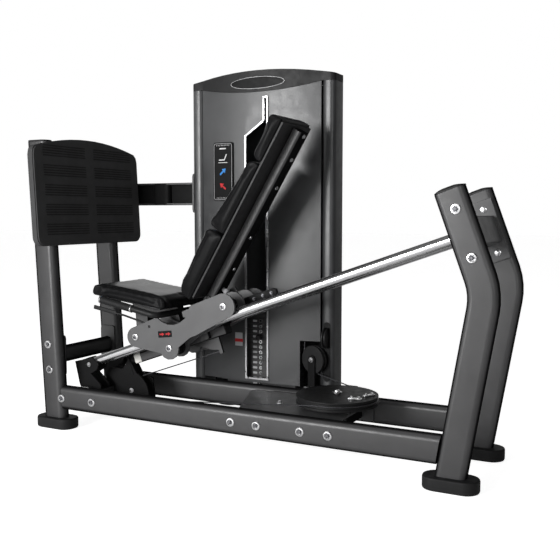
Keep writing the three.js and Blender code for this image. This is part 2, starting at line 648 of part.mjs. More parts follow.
// top beam, two top pulleys and the stack rods
{
  const y = STACK_Y;
  const a = TOWER_X + TOP_R + CR;
  const b = LOW_X - (LOW_R + CR + GAP) * Math.sin(EXIT_DEG * RAD) - TOP_R - CR - GAP;
  const x0 = TOWER_X - COL_X + TUBE_T / 2 + GAP;
  const x1 = TOWER_X + COL_X - TUBE_T / 2 - GAP;
  let beam = box(x0, x1, y + 20, y + 46, 1340, 1400);
  for (const x of [a, b]) beam = beam.add(rod([x, y - 11, TOP_Z], [x, y + 40, TOP_Z], 10))
    .add(box(x - 22, x + 22, y + 20, y + 28, TOP_Z - 22, 1360));
  for (const side of [-1, 1]) {
    beam = beam.add(rod([TOWER_X + side * 120, STACK_ROD_Y, STACK_Z - 0.4], [TOWER_X + side * 120, STACK_ROD_Y, 1350], 9.5, 14));
  }
  add('tower_top_beam', beam, 'frame');
  add('top_pulley_left', pulley([a, y, TOP_Z], [0, 1, 0], TOP_R, 6, 10, 10.4), 'plastic');
  add('top_pulley_right', pulley([b, y, TOP_Z], [0, 1, 0], TOP_R, 6, 10, 10.4), 'plastic');
}

// cables: seat run, base run, tower run and the run that lifts the stack
{
  const r1 = PULLEY_R + CR + GAP;
  const tangent = [PULLEY_X - r1 * RS, PULLEY_Z + r1 * RC];
  const lugS = (tangent[0] - ROD_X0) * RC + (tangent[1] - ROD_Z0) * RS;
  const lugT = -(tangent[0] - ROD_X0) * RS + (tangent[1] - ROD_Z0) * RC;
  const end = onRod(585.4, lugT);
  const start = onRod(lugS + 1, lugT);
  add('carriage_cable', cable([[start[0], YC, start[1]], [end[0], YC, end[1]]]), 'cable');

  // down the front pulley, back under the seat, round the disc, up to the tower;
  // wraps are polygons drawn outside the true circle
  const wrap = (cx, cy, r, a0, a1, n) => arc(cx, cy, r / Math.cos((a1 - a0) / n / 2 * RAD), a0, a1, n);
  const path = wrap(PULLEY_X, PULLEY_Z, r1, 90 + ROD_DEG + 1, 265, 6).map(([x, z]) => [x, YC, z]);
  const r2 = DISC_R + CR + GAP;
  path.push(...wrap(DISC_X, YC, r2, -99, EXIT_DEG, 12).map(([x, y]) => [x, y, DISC_Z]));
  const r3 = LOW_R + CR + GAP;
  const inPlane = ([h, z]) => [LOW_X - h * Math.sin(EXIT_DEG * RAD), LOW_Y + h * Math.cos(EXIT_DEG * RAD), LOW_Z + z];
  path.push(...wrap(0, 0, r3, 263, 360, 5).map(inPlane));
  const r4 = TOP_R + CR + GAP;
  const y = STACK_Y;
  const ax = TOWER_X + r4 - GAP;
  const bx = inPlane([r3, 0])[0] - r4;
  path.push([bx + r4, y, TOP_Z - 40]);
  path.push(...wrap(bx, TOP_Z, r4, 0, 90, 4).map(([x, z]) => [x, y, z]));
  path.push(...wrap(ax, TOP_Z, r4, 90, 180, 4).map(([x, z]) => [x, y, z]));
  add('base_cable', cable(path), 'cable');
  add('stack_cable', cable([[TOWER_X - GAP, y, TOP_Z - 1], [TOWER_X - GAP, y, 520.4]]), 'cable');
}

// ---------------------------------------------------------------- tower
const bow = (x) => COL_Y0 - BOW * (1 - ((x - TOWER_X) / SHROUD_HALF) ** 2);
const backBow = (x) => COL_Y0 + COL_D + BOW * (1 - ((x - TOWER_X) / SHROUD_HALF) ** 2);
const lens = (x, grow = 0) => TOWER_TOP - CAP_DIP * (1 - ((x - TOWER_X) / SHROUD_HALF) ** 2) + grow;
const span = (n, half = SHROUD_HALF) => {
  const xs = [];
  for (let i = 0; i <= n; i++) xs.push(TOWER_X - half + 2 * half * i / n);
  return xs;
};
{
  // base beams behind the rail, legs down to the rear feet, and the stack bed
  const cx = [TOWER_X - COL_X, TOWER_X + COL_X];
  const y0 = BASE_W + GAP;
  let body = box(cx[0], cx[1], 480, 534, 96, 141);
  for (const x of cx) {
    body = body.add(bar([x, y0, 113], [x, 742, 113], [1, 0, 0], 56, 56, 8));
    body = body.add(box(x - 28, x + 28, 690, 738, FOOT_H - 5, 120));
  }
  body = body.add(box(cx[1] - 90, cx[1], 444.5, 520, 96, 141)).add(lowFork);
  for (const x of cx) body = body.add(footPad(x, 715, 104, 92));
  add('tower_base', body, 'frame');
  cx.forEach((x, i) => {
    const column = prismZ([shifted(roundRing(TUBE_T, COL_D, 20), x, COL_Y0 + COL_D / 2),
      shifted(roundRing(TUBE_T - 6, COL_D - 6, 17), x, COL_Y0 + COL_D / 2)], 141.4, TOWER_TOP);
    add(i ? 'tower_right_column' : 'tower_left_column', column, 'frame');
  });
}
{
  // covers between the columns, bowed outwards
  const xs = span(10, SHROUD_HALF - GAP);
  const sheet = (f, t) => [...xs.map((x) => [x, f(x)]), ...xs.slice().reverse().map((x) => [x, f(x) + t])];
  const trimTop = (x) => lens(x, -GAP);
  const under = [[300, 0], [1500, 0], [1500, TOWER_TOP - GAP], ...xs.slice().reverse().map((x) => [x, trimTop(x)]),
    [300, TOWER_TOP - GAP]];
  const slot = [[TOWER_X - 50, 100], [TOWER_X - 50, 1219], [TOWER_X + 30, 1273], [TOWER_X + 37, 1284],
    [TOWER_X + 37, 1372], [TOWER_X + 45, 1372], [TOWER_X + 45, 100]];
  const front = prismZ([sheet(bow, 3)], 184, TOWER_TOP - GAP)
    .intersect(prismY([under], 300, 700))
    .subtract(prismY([slot], 300, 700).intersect(box(0, 2000, 300, 700, 205, 1500)))
    .subtract(box(1066, 1160, 300, 700, 100, 376));
  add('tower_front_cover', front, 'frame');
  const rear = prismZ([sheet((x) => backBow(x) - 3, 3)], 150, TOWER_TOP - GAP);
  add('tower_rear_cover', rear, 'frame');

  // bright trim round the slot
  const outer = [[TOWER_X - 59, 196], [TOWER_X - 59, 1224], [TOWER_X + 28, 1284], [TOWER_X + 28, 1381],
    [TOWER_X + 54, 1381], [TOWER_X + 54, 196]];
  const inner = [[TOWER_X - 50, 205], [TOWER_X - 50, 1219], [TOWER_X + 30, 1273], [TOWER_X + 37, 1284],
    [TOWER_X + 37, 1372], [TOWER_X + 45, 1372], [TOWER_X + 45, 205]];
  const front0 = bow(TOWER_X);
  add('slot_trim', prismY([outer], front0 - 4, front0 - GAP).subtract(prismY([inner], front0 - 9, front0 + 9)), 'chrome');

  // cap over both columns with a drooping front valance
  const half = COL_X + TUBE_T / 2;
  const plan = [
    ...arc(TOWER_X - half + 20, COL_Y0 + 20, 20, 180, 270, 5), ...xs.map((x) => [x, bow(x)]),
    ...arc(TOWER_X + half - 20, COL_Y0 + 20, 20, 270, 360, 5),
    ...arc(TOWER_X + half - 20, COL_Y0 + COL_D - 20, 20, 0, 90, 5),
    ...xs.slice().reverse().map((x) => [x, backBow(x)]),
    ...arc(TOWER_X - half + 20, COL_Y0 + COL_D - 20, 20, 90, 180, 5),
  ];
  const above = [...xs.map((x) => [x, lens(x)]), [xs[10], TOWER_TOP + 10], [xs[0], TOWER_TOP + 10]];
  const crown = (x) => TOWER_TOP + 29 + CAP_CROWN * (1 - ((x - TOWER_X) / half) ** 2);
  const wide = span(12, half + 1);
  const arch = [[wide[0], TOWER_TOP + GAP], [wide[12], TOWER_TOP + GAP],
    ...wide.slice().reverse().map((x) => [x, crown(x)])];
  const cap = prismZ([plan], TOWER_TOP + GAP, TOWER_TOP + 90).intersect(prismY([arch], 300, 700))
    .add(prismZ([sheet(bow, 6)], TOWER_TOP - 50, TOWER_TOP + 10).intersect(prismY([above], 300, 700)));
  add('tower_cap', cap, 'plastic');

  // instruction panel, blank
  const px = 706;
  const slope = Math.atan(2 * BOW * (px - TOWER_X) / SHROUD_HALF ** 2) / RAD;
  const panel = prismY([roundRing(104, 248, 12)], -5, 0);
  add('instruction_panel', placed(panel, turnZ(slope, px, bow(px) - 1.6, 1077)), 'plastic');
}

// brace arm from the far front upright, round the foot plate, to the left column
{
  const x1 = TOWER_X - COL_X - TUBE_T / 2 - GAP;
  const y0 = BASE_W + GAP;
  const z = 989;
  const y = 588;                 // clear of the foot plate's far edge
  let arm = box(34, x1, y - 27, y + 27, 938, 946).add(box(34, x1, y - 27, y + 27, 1032, 1040));
  arm = arm.add(box(34, x1, y - 3, y + 3, 940, 1036));
  arm = arm.add(prismZ([shifted(roundRing(96, 58, 22, 4), 286, y)], 941, 1037));
  arm = arm.add(prismX([shifted(roundRing(156, 172, 14, 2), 544, z)], x1 - 8, x1));
  arm = arm.add(box(34, 114, y0, y - 3, 946, 1032));
  add('brace_arm', arm, 'frame');
}

// ---------------------------------------------------------------- weight stack
{
  const hw = 165;
  const y0 = STACK_Y - 48;
  const y1 = STACK_Y + 48;
  // plates read as separate by a groove round each joint
  const stack = (z0, count) => {
    const loop = [];
    const side = (sign) => {
      const pts = [];
      for (let k = 0; k < count; k++) {
        const z = z0 + k * PLATE_PITCH;
        pts.push([sign * hw, z], [sign * hw, z + PLATE_PITCH - 2]);
        if (k + 1 < count) {
          pts.push([sign * (hw - 4), z + PLATE_PITCH - 2], [sign * (hw - 4), z + PLATE_PITCH]);
        }
      }
      return pts;
    };
    loop.push(...side(1), ...side(-1).reverse());
    let body = prismY([loop.map(([x, z]) => [TOWER_X + x, z])], y0, y1);
    for (let k = 0; k + 1 < count; k++) {
      const z = z0 + (k + 1) * PLATE_PITCH - 2;
      body = body.subtract(box(TOWER_X - 200, TOWER_X + 200, y0 - 5, y0 + 4, z, z + 2));
    }
    for (const x of [-120, 120]) {
      body = body.subtract(rod([TOWER_X + x, STACK_ROD_Y, z0 - 9], [TOWER_X + x, STACK_ROD_Y, z0 + 400], 11, 12));
    }
    return body.subtract(rod([TOWER_X, STACK_Y, z0 - 9], [TOWER_X, STACK_Y, z0 + 400], 11, 12));
  };
  add('resting_plates', stack(STACK_Z, RESTING), 'stack');
  const liftZ = STACK_Z + RESTING * PLATE_PITCH;
  const pinZ = liftZ + 10;
  let lifted = stack(liftZ, LIFTED);
  lifted = lifted.subtract(rod([TOWER_X, y0 - 5, pinZ], [TOWER_X, STACK_Y, pinZ], 5, 16));
  add('lifted_plates', lifted, 'stack');

  const headZ = liftZ + LIFTED * PLATE_PITCH;
  let head = box(TOWER_X - hw, TOWER_X + hw, y0, y1, headZ, headZ + 22);
  for (const x of [-120, 120]) {
    head = head.subtract(rod([TOWER_X + x, STACK_ROD_Y, headZ - 9], [TOWER_X + x, STACK_ROD_Y, headZ + 60], 11, 12));
  }
  head = head.add(rod([TOWER_X, STACK_Y, STACK_Z + 6], [TOWER_X, STACK_Y, headZ + 42], 10, 20));
  add('head_plate', head, 'stack');
  add('selector_pin', turned([TOWER_X, 432, pinZ], [0, 1, 0], [[0, 9], [3, 12], [22, 12], [25, 9], [26, 4.4],
    [64.5, 4.4]], 20), 'rubber');
}

export default group;
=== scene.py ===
"""Leg press machine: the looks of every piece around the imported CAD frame."""
import json
import math

import bmesh
import bpy
from mathutils import Matrix, Vector

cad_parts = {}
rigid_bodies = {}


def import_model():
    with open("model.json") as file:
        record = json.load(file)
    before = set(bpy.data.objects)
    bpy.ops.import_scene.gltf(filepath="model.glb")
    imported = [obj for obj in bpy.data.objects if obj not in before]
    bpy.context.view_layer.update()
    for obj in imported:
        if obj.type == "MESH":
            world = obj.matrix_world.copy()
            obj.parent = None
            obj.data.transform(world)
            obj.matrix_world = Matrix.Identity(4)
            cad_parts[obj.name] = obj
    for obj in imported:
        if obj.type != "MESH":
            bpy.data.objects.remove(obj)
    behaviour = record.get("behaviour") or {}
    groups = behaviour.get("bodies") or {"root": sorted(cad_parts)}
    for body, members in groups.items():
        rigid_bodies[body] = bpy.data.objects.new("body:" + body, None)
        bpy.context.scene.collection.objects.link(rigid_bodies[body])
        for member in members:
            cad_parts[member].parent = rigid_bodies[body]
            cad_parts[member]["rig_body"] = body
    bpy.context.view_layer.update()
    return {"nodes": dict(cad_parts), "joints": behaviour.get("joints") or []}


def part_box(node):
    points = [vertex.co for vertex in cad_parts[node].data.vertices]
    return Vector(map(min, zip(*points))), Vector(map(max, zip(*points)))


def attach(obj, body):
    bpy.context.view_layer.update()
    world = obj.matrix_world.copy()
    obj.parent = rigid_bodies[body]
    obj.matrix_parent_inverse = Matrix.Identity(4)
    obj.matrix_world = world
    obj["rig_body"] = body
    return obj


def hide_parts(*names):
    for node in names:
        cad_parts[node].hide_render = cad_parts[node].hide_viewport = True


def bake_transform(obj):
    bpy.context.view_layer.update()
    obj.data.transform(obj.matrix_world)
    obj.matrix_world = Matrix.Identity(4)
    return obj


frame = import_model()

MM = 0.001

# ---------- places
JOINTS = {joint["name"]: joint for joint in frame["joints"]}
LOW, HIGH = 0, 1

# two inclined guide rods: s up the rods, t square to them
ROD_DIR = Vector(JOINTS["carriage_slide"]["axis"]).normalized()
ROD_UP = Vector((-ROD_DIR.z, 0, ROD_DIR.x))
ROD_CENTRE = sum(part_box("near_guide_rod"), Vector()) / 2
ROD_CENTRE_S = 829 * MM
MID_Y = sum(corner.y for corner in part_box("seat_pad")) / 2

# backrest: u up the back from the pivot, n from the front of the pads to the rear
BACK_LEAN = math.radians(31)
BACK_UP = Vector((math.sin(BACK_LEAN), 0, math.cos(BACK_LEAN)))
BACK_REAR = Vector((math.cos(BACK_LEAN), 0, -math.sin(BACK_LEAN)))
BACK_PIVOT = Vector(JOINTS["backrest_recline"]["pos_m"])
PIVOT_U, PIVOT_N = 880 * MM, 385 * MM

# frame tubes: their section, and how far the uprights lean for each metre of height
TUBE_W, TUBE_T, TUBE_R = 104 * MM, 56 * MM, 22 * MM
UPRIGHT_LEAN = 0.0515

# weight tower
CAP_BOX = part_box("tower_cap")
TOWER_X = (CAP_BOX[LOW].x + CAP_BOX[HIGH].x) / 2
COLUMN_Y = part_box("tower_left_column")[LOW].y
SHROUD_HALF = 281 * MM
BOW = 25 * MM

X, Y, Z = Vector((1, 0, 0)), Vector((0, 1, 0)), Vector((0, 0, 1))


def middle(node):
    """Centre of a CAD node's box."""
    low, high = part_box(node)
    return (low + high) / 2


def joint_place(name):
    """Where a joint's axis starts."""
    return Vector(JOINTS[name]["pos_m"])


def scaled(pairs, size):
    """Pairs given as shares of a size, in metres."""
    return [(a * size, b * size) for a, b in pairs]


def mm(pairs):
    """Pairs given in millimetres, in metres."""
    return scaled(pairs, MM)


def on_rods(s, t, y=MID_Y):
    """Point at s metres up the guide rods and t metres above their axes."""
    point = ROD_CENTRE + ROD_DIR * (s - ROD_CENTRE_S) + ROD_UP * t
    return Vector((point.x, y, point.z))


def on_back(u, n, y=MID_Y):
    """Point on the backrest, in the metres of its own lean."""
    point = BACK_PIVOT + BACK_UP * (u - PIVOT_U) + BACK_REAR * (n - PIVOT_N)
    return Vector((point.x, y, point.z))


def on_cover(dx, z, out=0.0):
    """Point on the bowed front cover, dx from the tower's centre line."""
    depth = BOW * (1 - min(1, abs(dx) / SHROUD_HALF) ** 2)
    return Vector((TOWER_X + dx, COLUMN_Y - depth - out, z))


# ---------- materials
def map_range(tree, value, limits, kind="LINEAR"):
    """Maps a value from the first two limits to the last two."""
    node = tree.nodes.new("ShaderNodeMapRange")
    node.interpolation_type = kind
    for key, limit in zip(("From Min", "From Max", "To Min", "To Max"), limits):
        node.inputs[key].default_value = limit
    tree.links.new(value, node.inputs["Value"])
    return node.outputs["Result"]


def combine(tree, kind, value, other):
    """A Math node on a value and another value or plain number."""
    node = tree.nodes.new("ShaderNodeMath")
    node.operation = kind
    tree.links.new(value, node.inputs[0])
    if isinstance(other, float):
        node.inputs[1].default_value = other
    else:
        tree.links.new(other, node.inputs[1])
    return node.outputs["Value"]


class Shader:
    """A small builder for node materials around one Principled shader."""

    def __init__(self, name, colour, roughness, metallic=0.0):
        self.material = bpy.data.materials.new(name)
        self.material.use_nodes = True
        self.tree = self.material.node_tree
        self.main = self.tree.nodes["Principled BSDF"]
        self.fix("Metallic", metallic)
        self.place = self.add("ShaderNodeTexCoord").outputs["Object"]
        self.colour = (*colour, 1.0)
        self.roughness = roughness

    def add(self, kind, **values):
        node = self.tree.nodes.new(kind)
        for key, value in values.items():
            setattr(node, key, value)
        return node

    def join(self, output, target):
        self.tree.links.new(output, target)

    def drive(self, key, output):
        self.join(output, self.main.inputs[key])

    def fix(self, key, value):
        self.main.inputs[key].default_value = value

    def noise(self, scale, detail=2.0, stretch=None):
        node = self.add("ShaderNodeTexNoise")
        node.inputs["Scale"].default_value = scale
        node.inputs["Detail"].default_value = detail
        source = self.place
        if stretch:
            mapping = self.add("ShaderNodeMapping")
            mapping.inputs["Scale"].default_value = stretch
            self.join(source, mapping.inputs["Vector"])
            source = mapping.outputs["Vector"]
        self.join(source, node.inputs["Vector"])
        return node.outputs["Fac"]

    def spread(self, value, low, high):
        """Stretches the middle of a noise over a range of values."""
        return map_range(self.tree, value, (0.3, 0.7, low, high))

    def vary_colour(self, value, amount):
        """Lets the base colour drift by a share of itself."""
        mix = self.add("ShaderNodeMix", data_type="RGBA")
        darker = [channel * (1 - amount) for channel in self.colour[:3]]
        lighter = [min(1, channel * (1 + amount)) for channel in self.colour[:3]]
        mix.inputs[6].default_value = (*darker, 1)
        mix.inputs[7].default_value = (*lighter, 1)
        self.join(self.spread(value, 0, 1), mix.inputs["Factor"])
        self.drive("Base Color", mix.outputs[2])

    def vary_roughness(self, value, amount):
        self.drive("Roughness", self.spread(value, self.roughness - amount, self.roughness + amount))

    def by_facing(self, ahead, aslant, start=0.2, end=0.5):
        """A value that goes from one to the other as a surface turns away from the viewer."""
        weight = self.add("ShaderNodeLayerWeight").outputs["Facing"]
        return map_range(self.tree, weight, (start, end, ahead, aslant), "SMOOTHSTEP")

    def paint_shade_aslant(self, share):
        """Painted shade: the paint's colour goes darker where the surface turns away from the viewer."""
        factor = self.by_facing(1.0, share)
        source = self.main.inputs["Base Color"].links[0].from_socket
        scale = self.add("ShaderNodeVectorMath", operation="SCALE")
        self.join(source, scale.inputs[0])
        self.join(factor, scale.inputs["Scale"])
        self.drive("Base Color", scale.outputs["Vector"])

    def bump(self, value, distance, strength=0.5):
        node = self.add("ShaderNodeBump")
        node.inputs["Strength"].default_value = strength
        node.inputs["Distance"].default_value = distance
        self.join(value, node.inputs["Height"])
        self.drive("Normal", node.outputs["Normal"])

    def finish(self):
        if not self.main.inputs["Base Color"].is_linked:
            self.fix("Base Color", self.colour)
        if not self.main.inputs["Roughness"].is_linked:
            self.fix("Roughness", self.roughness)
        return self.material


def powder_coat(name, colour, roughness=0.42, aslant=1.0):
    """Satin paint with a fine orange-peel texture and soft handling marks."""
    shader = Shader(name, colour, roughness)
    shader.vary_colour(shader.noise(9, 4), 0.10)
    shader.vary_roughness(shader.noise(26, 5), 0.06)
    shader.bump(shader.noise(1500, 3), 0.00025, 0.45)
    shader.fix("Coat Roughness", 0.25)
    # With aslant below one the base colour goes darker on surfaces turned away from the viewer, as painted
    # shade, and the sheen fades there too.
    if aslant < 1:
        shader.paint_shade_aslant(aslant)
        shader.drive("Specular IOR Level", shader.by_facing(0.55, 0.0))
        shader.drive("Coat Weight", shader.by_facing(0.12, 0.0))
    else:
        shader.fix("Specular IOR Level", 0.55)
        shader.fix("Coat Weight", 0.12)
    return shader.finish()


def polished_metal(name, colour, roughness, brush=None):
    """Chromed or zinc-plated steel with faint polishing lines."""
    shader = Shader(name, colour, roughness, 1.0)
    shader.vary_roughness(shader.noise(60, 4, brush), roughness * 0.5)
    shader.vary_colour(shader.noise(12, 3), 0.05)
    shader.bump(shader.noise(420, 3, brush), 0.00006, 0.25)
    return shader.finish()


def leather(name, colour):
    """Gym upholstery: small pebbled grain, dull face on and glossy aslant."""
    shader = Shader(name, colour, 0.34)
    cells = shader.add("ShaderNodeTexVoronoi", feature="DISTANCE_TO_EDGE")
    cells.inputs["Scale"].default_value = 620
    shader.join(shader.place, cells.inputs["Vector"])
    grain = combine(shader.tree, "ADD", cells.outputs["Distance"], shader.noise(260, 4))
    shader.bump(grain, 0.0003, 0.35)
    shader.vary_roughness(shader.noise(15, 4), 0.07)
    shader.vary_colour(shader.noise(7, 3), 0.18)
    shader.drive("Specular IOR Level", shader.by_facing(0.06, 1.0, 0.35, 0.8))
    shader.drive("Coat Weight", shader.by_facing(0.0, 0.7, 0.5, 0.85))
    shader.fix("Coat Roughness", 0.3)
    return shader.finish()


def moulded(name, colour, roughness, grain=700, depth=0.0002, gloss=0.3):
    """Injection-moulded plastic or rubber with an eroded surface grain."""
    shader = Shader(name, colour, roughness)
    shader.vary_colour(shader.noise(11, 3), 0.12)
    shader.vary_roughness(shader.noise(40, 4), 0.07)
    shader.bump(shader.noise(grain, 4), depth, 0.5)
    shader.fix("Specular IOR Level", gloss)
    return shader.finish()


def braided(name, colour):
    """Coated wire rope: faint strands that run round the cable."""
    shader = Shader(name, colour, 0.38, 0.6)
    wave = shader.add("ShaderNodeTexWave", bands_direction="DIAGONAL")
    wave.inputs["Scale"].default_value = 160
    shader.join(shader.place, wave.inputs["Vector"])
    shader.bump(wave.outputs["Fac"], 0.0005, 0.6)
    shader.vary_colour(shader.noise(90, 2), 0.2)
    return shader.finish()


MATERIAL = {
    # frame paint: its colour darkens to 0.22 of itself on surfaces turned away from the viewer, as painted
    # shade
    "frame_paint": powder_coat("frame_powder_coat", (0.052, 0.0515, 0.053), 0.42, 0.22),
    "plate_paint": powder_coat("carriage_powder_coat", (0.088, 0.088, 0.090), 0.48),
    "cover_paint": powder_coat("tower_powder_coat", (0.045, 0.046, 0.048), 0.36),
    "chrome": polished_metal("rod_chrome", (0.94, 0.94, 0.95), 0.2, (1, 30, 1)),
    "trim": polished_metal("trim_satin", (0.5, 0.5, 0.51), 0.4),
    "zinc": polished_metal("bolt_zinc", (0.78, 0.78, 0.79), 0.3),
    "dark_steel": polished_metal("socket_steel", (0.16, 0.16, 0.17), 0.4),
    "leather": leather("black_upholstery", (0.0085, 0.0085, 0.009)),
    "stitch": moulded("seam_thread", (0.008, 0.008, 0.0084), 0.7, 1600, 0.0003, 0.1),
    "rubber": moulded("black_rubber", (0.011, 0.011, 0.0115), 0.6),
    "tread": moulded("tread_plastic", (0.056, 0.056, 0.057), 0.75, 900, 0.0002),
    # Darker than the tread: painted shade for the lines between the ribs.
    "tread_rib": moulded("tread_rib_plastic", (0.026, 0.026, 0.0265), 0.8, 900, 0.0002),
    "plastic": moulded("black_plastic", (0.010, 0.010, 0.0104), 0.5),
    "cap": moulded("cap_plastic", (0.016, 0.016, 0.0165), 0.45, 700, 0.0002, 0.2),
    "board": moulded("board_plastic", (0.03, 0.03, 0.031), 0.5),
    "bumper": moulded("white_bumper", (0.78, 0.77, 0.73), 0.45),
    "stack": powder_coat("stack_paint", (0.03, 0.03, 0.031), 0.5),
    "cable": braided("cable_steel", (0.07, 0.07, 0.075)),
    "mark": moulded("mark_grey", (0.42, 0.42, 0.43), 0.5),
    "panel": moulded("panel_film", (0.006, 0.006, 0.0063), 0.45, 500, 0.00004, 0.12),
    "rim": moulded("rim_grey", (0.62, 0.62, 0.63), 0.45),
    "ink": moulded("dark_moulding", (0.007, 0.007, 0.0073), 0.55, 700, 0.0002, 0.14),
    "white": moulded("print_white", (0.75, 0.75, 0.75), 0.45),
    "blue": moulded("print_blue", (0.03, 0.22, 0.6), 0.45),
    "red": moulded("print_red", (0.5, 0.015, 0.02), 0.45),
}


# ---------- mesh tools
def in_scene(name, data):
    """A new object, linked to the scene."""
    thing = bpy.data.objects.new(name, data)
    bpy.context.scene.collection.objects.link(thing)
    return thing


def finish_piece(name, bm, material, body, smooth=38):
    """Turns mesh data into a named piece that rides on a body."""
    bmesh.ops.recalc_face_normals(bm, faces=bm.faces[:])
    mesh = bpy.data.meshes.new(name)
    bm.to_mesh(mesh)
    bm.free()
    return finish_mesh(name, mesh, material, body, smooth)


def finish_mesh(name, mesh, material, body, smooth=38):
    """Names a mesh and gives it a material; smooth is the sharpest angle that stays round."""
    if smooth is not None:
        mesh.shade_smooth()
        mesh.set_sharp_from_angle(angle=math.radians(smooth))
    piece = in_scene(name, mesh)
    mesh.materials.clear()
    mesh.materials.append(MATERIAL[material])
    if body:
        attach(piece, body)
    return piece


def applied(piece):
    """The mesh of a piece with its modifiers applied; the piece itself goes."""
    graph = bpy.context.evaluated_depsgraph_get()
    mesh = bpy.data.meshes.new_from_object(piece.evaluated_get(graph))
    bpy.data.objects.remove(piece)
    return mesh


def across(axis):
    """Two directions square to an axis."""
    side = axis.cross(Z if abs(axis.z) < 0.9 else X).normalized()
    return side, side.cross(axis).normalized()


def add_ring(bm, centre, side, up, radius, steps):
    """A round ring of points."""
    ring = []
    for k in range(steps):
        turn = 2 * math.pi * k / steps
        ring.append(bm.verts.new(centre + side * radius * math.cos(turn) + up * radius * math.sin(turn)))
    return ring


def add_turned(bm, base, axis, profile, steps):
    """Revolves a profile of (distance along the axis, radius) pairs."""
    axis = axis.normalized()
    side, up = across(axis)
    rings = []
    for along, radius in profile:
        centre = base + axis * along
        if radius < 1e-7:
            rings.append([bm.verts.new(centre)])
        else:
            rings.append(add_ring(bm, centre, side, up, radius, steps))
    for a, b in zip(rings, rings[1:]):
        add_band(bm, a, b)
    for ring, other in ((rings[0], rings[1]), (rings[-1], rings[-2])):
        if len(ring) > 1 and len(other) > 1:
            bm.faces.new(ring)


def add_band(bm, a, b):
    """Faces between two rings, or between a ring and a point."""
    count = max(len(a), len(b))
    for k in range(count):
        nxt = (k + 1) % count
        corners = [a[k % len(a)], a[nxt % len(a)], b[nxt % len(b)], b[k % len(b)]]
        unique = list(dict.fromkeys(corners))
        if len(unique) > 2:
            bm.faces.new(unique)


def add_slab(bm, outline, depth, bevel=0.0, segments=2):
    """Extrudes a closed outline of points by a vector and rounds its rims."""
    lower = [bm.verts.new(p) for p in outline]
    upper = [bm.verts.new(Vector(p) + depth) for p in outline]
    faces = [bm.faces.new(lower), bm.faces.new(list(reversed(upper)))]
    add_band(bm, lower, upper)
    if bevel:
        rims = list(dict.fromkeys(edge for face in faces for edge in face.edges))
        bmesh.ops.bevel(bm, geom=rims, offset=bevel, segments=segments, profile=0.5, affect="EDGES",
                        clamp_overlap=True)


def add_tube(bm, points, radius, steps):
    """Sweeps a round section along a line of points, with closed ends."""
    points = [Vector(p) for p in points]
    rings = []
    side = None
    for k, point in enumerate(points):
        ahead = points[min(k + 1, len(points) - 1)] - points[max(k - 1, 0)]
        ahead.normalize()
        if side is None:
            side = across(ahead)[0]
        side = (side - ahead * side.dot(ahead)).normalized()
        rings.append(add_ring(bm, point, side, ahead.cross(side), radius, steps))
    for a, b in zip(rings, rings[1:]):
        add_band(bm, a, b)
    bm.faces.new(rings[0])
    bm.faces.new(rings[-1])


def rounded(width, height, radius, steps=6):
    """Outline of a rectangle with round corners, centred on zero."""
    points = []
    for sx, sy, start in ((1, 1, 0), (-1, 1, 90), (-1, -1, 180), (1, -1, 270)):
        cx, cy = sx * (width / 2 - radius), sy * (height / 2 - radius)
        for k in range(steps + 1):
            turn = math.radians(start + 90 * k / steps)
            points.append((cx + radius * math.cos(turn), cy + radius * math.sin(turn)))
    return points


def placed(outline, centre, right, up):
    """A flat outline as points in space."""
    return [centre + right * a + up * b for a, b in outline]


# ---------- CAD nodes, made finer
def refine(node, material, bevel, smooth=38):
    """A copy of a CAD node with welded points, rounded edges and smooth shading."""
    source = frame["nodes"][node]
    bm = bmesh.new()
    bm.from_mesh(source.data)
    bmesh.ops.remove_doubles(bm, verts=bm.verts[:], dist=2e-6)
    bmesh.ops.dissolve_limit(bm, angle_limit=math.radians(0.3), verts=bm.verts[:], edges=bm.edges[:])
    mesh = bpy.data.meshes.new(node + "_raw")
    bm.to_mesh(mesh)
    bm.free()
    rough = in_scene(node + "_raw", mesh)
    mesh.shade_smooth()
    if bevel:
        modifier = rough.modifiers.new("edges", "BEVEL")
        modifier.width = bevel
        modifier.segments = 2
        modifier.limit_method = "ANGLE"
        modifier.angle_limit = math.radians(smooth)
        modifier.use_clamp_overlap = True
        modifier.miter_outer = "MITER_ARC"
    else:
        mesh.set_sharp_from_angle(angle=math.radians(smooth))
    flat = rough.modifiers.new("flat_faces", "WEIGHTED_NORMAL")
    flat.keep_sharp = True
    piece = finish_mesh(node + "_shell", applied(rough), material, source["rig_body"], None)
    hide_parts(node)
    return piece


def paint_part(piece, material, inside):
    """A second material on the faces whose middles pass the test."""
    piece.data.materials.append(MATERIAL[material])
    for face in piece.data.polygons:
        if inside(face.center):
            face.material_index = 1


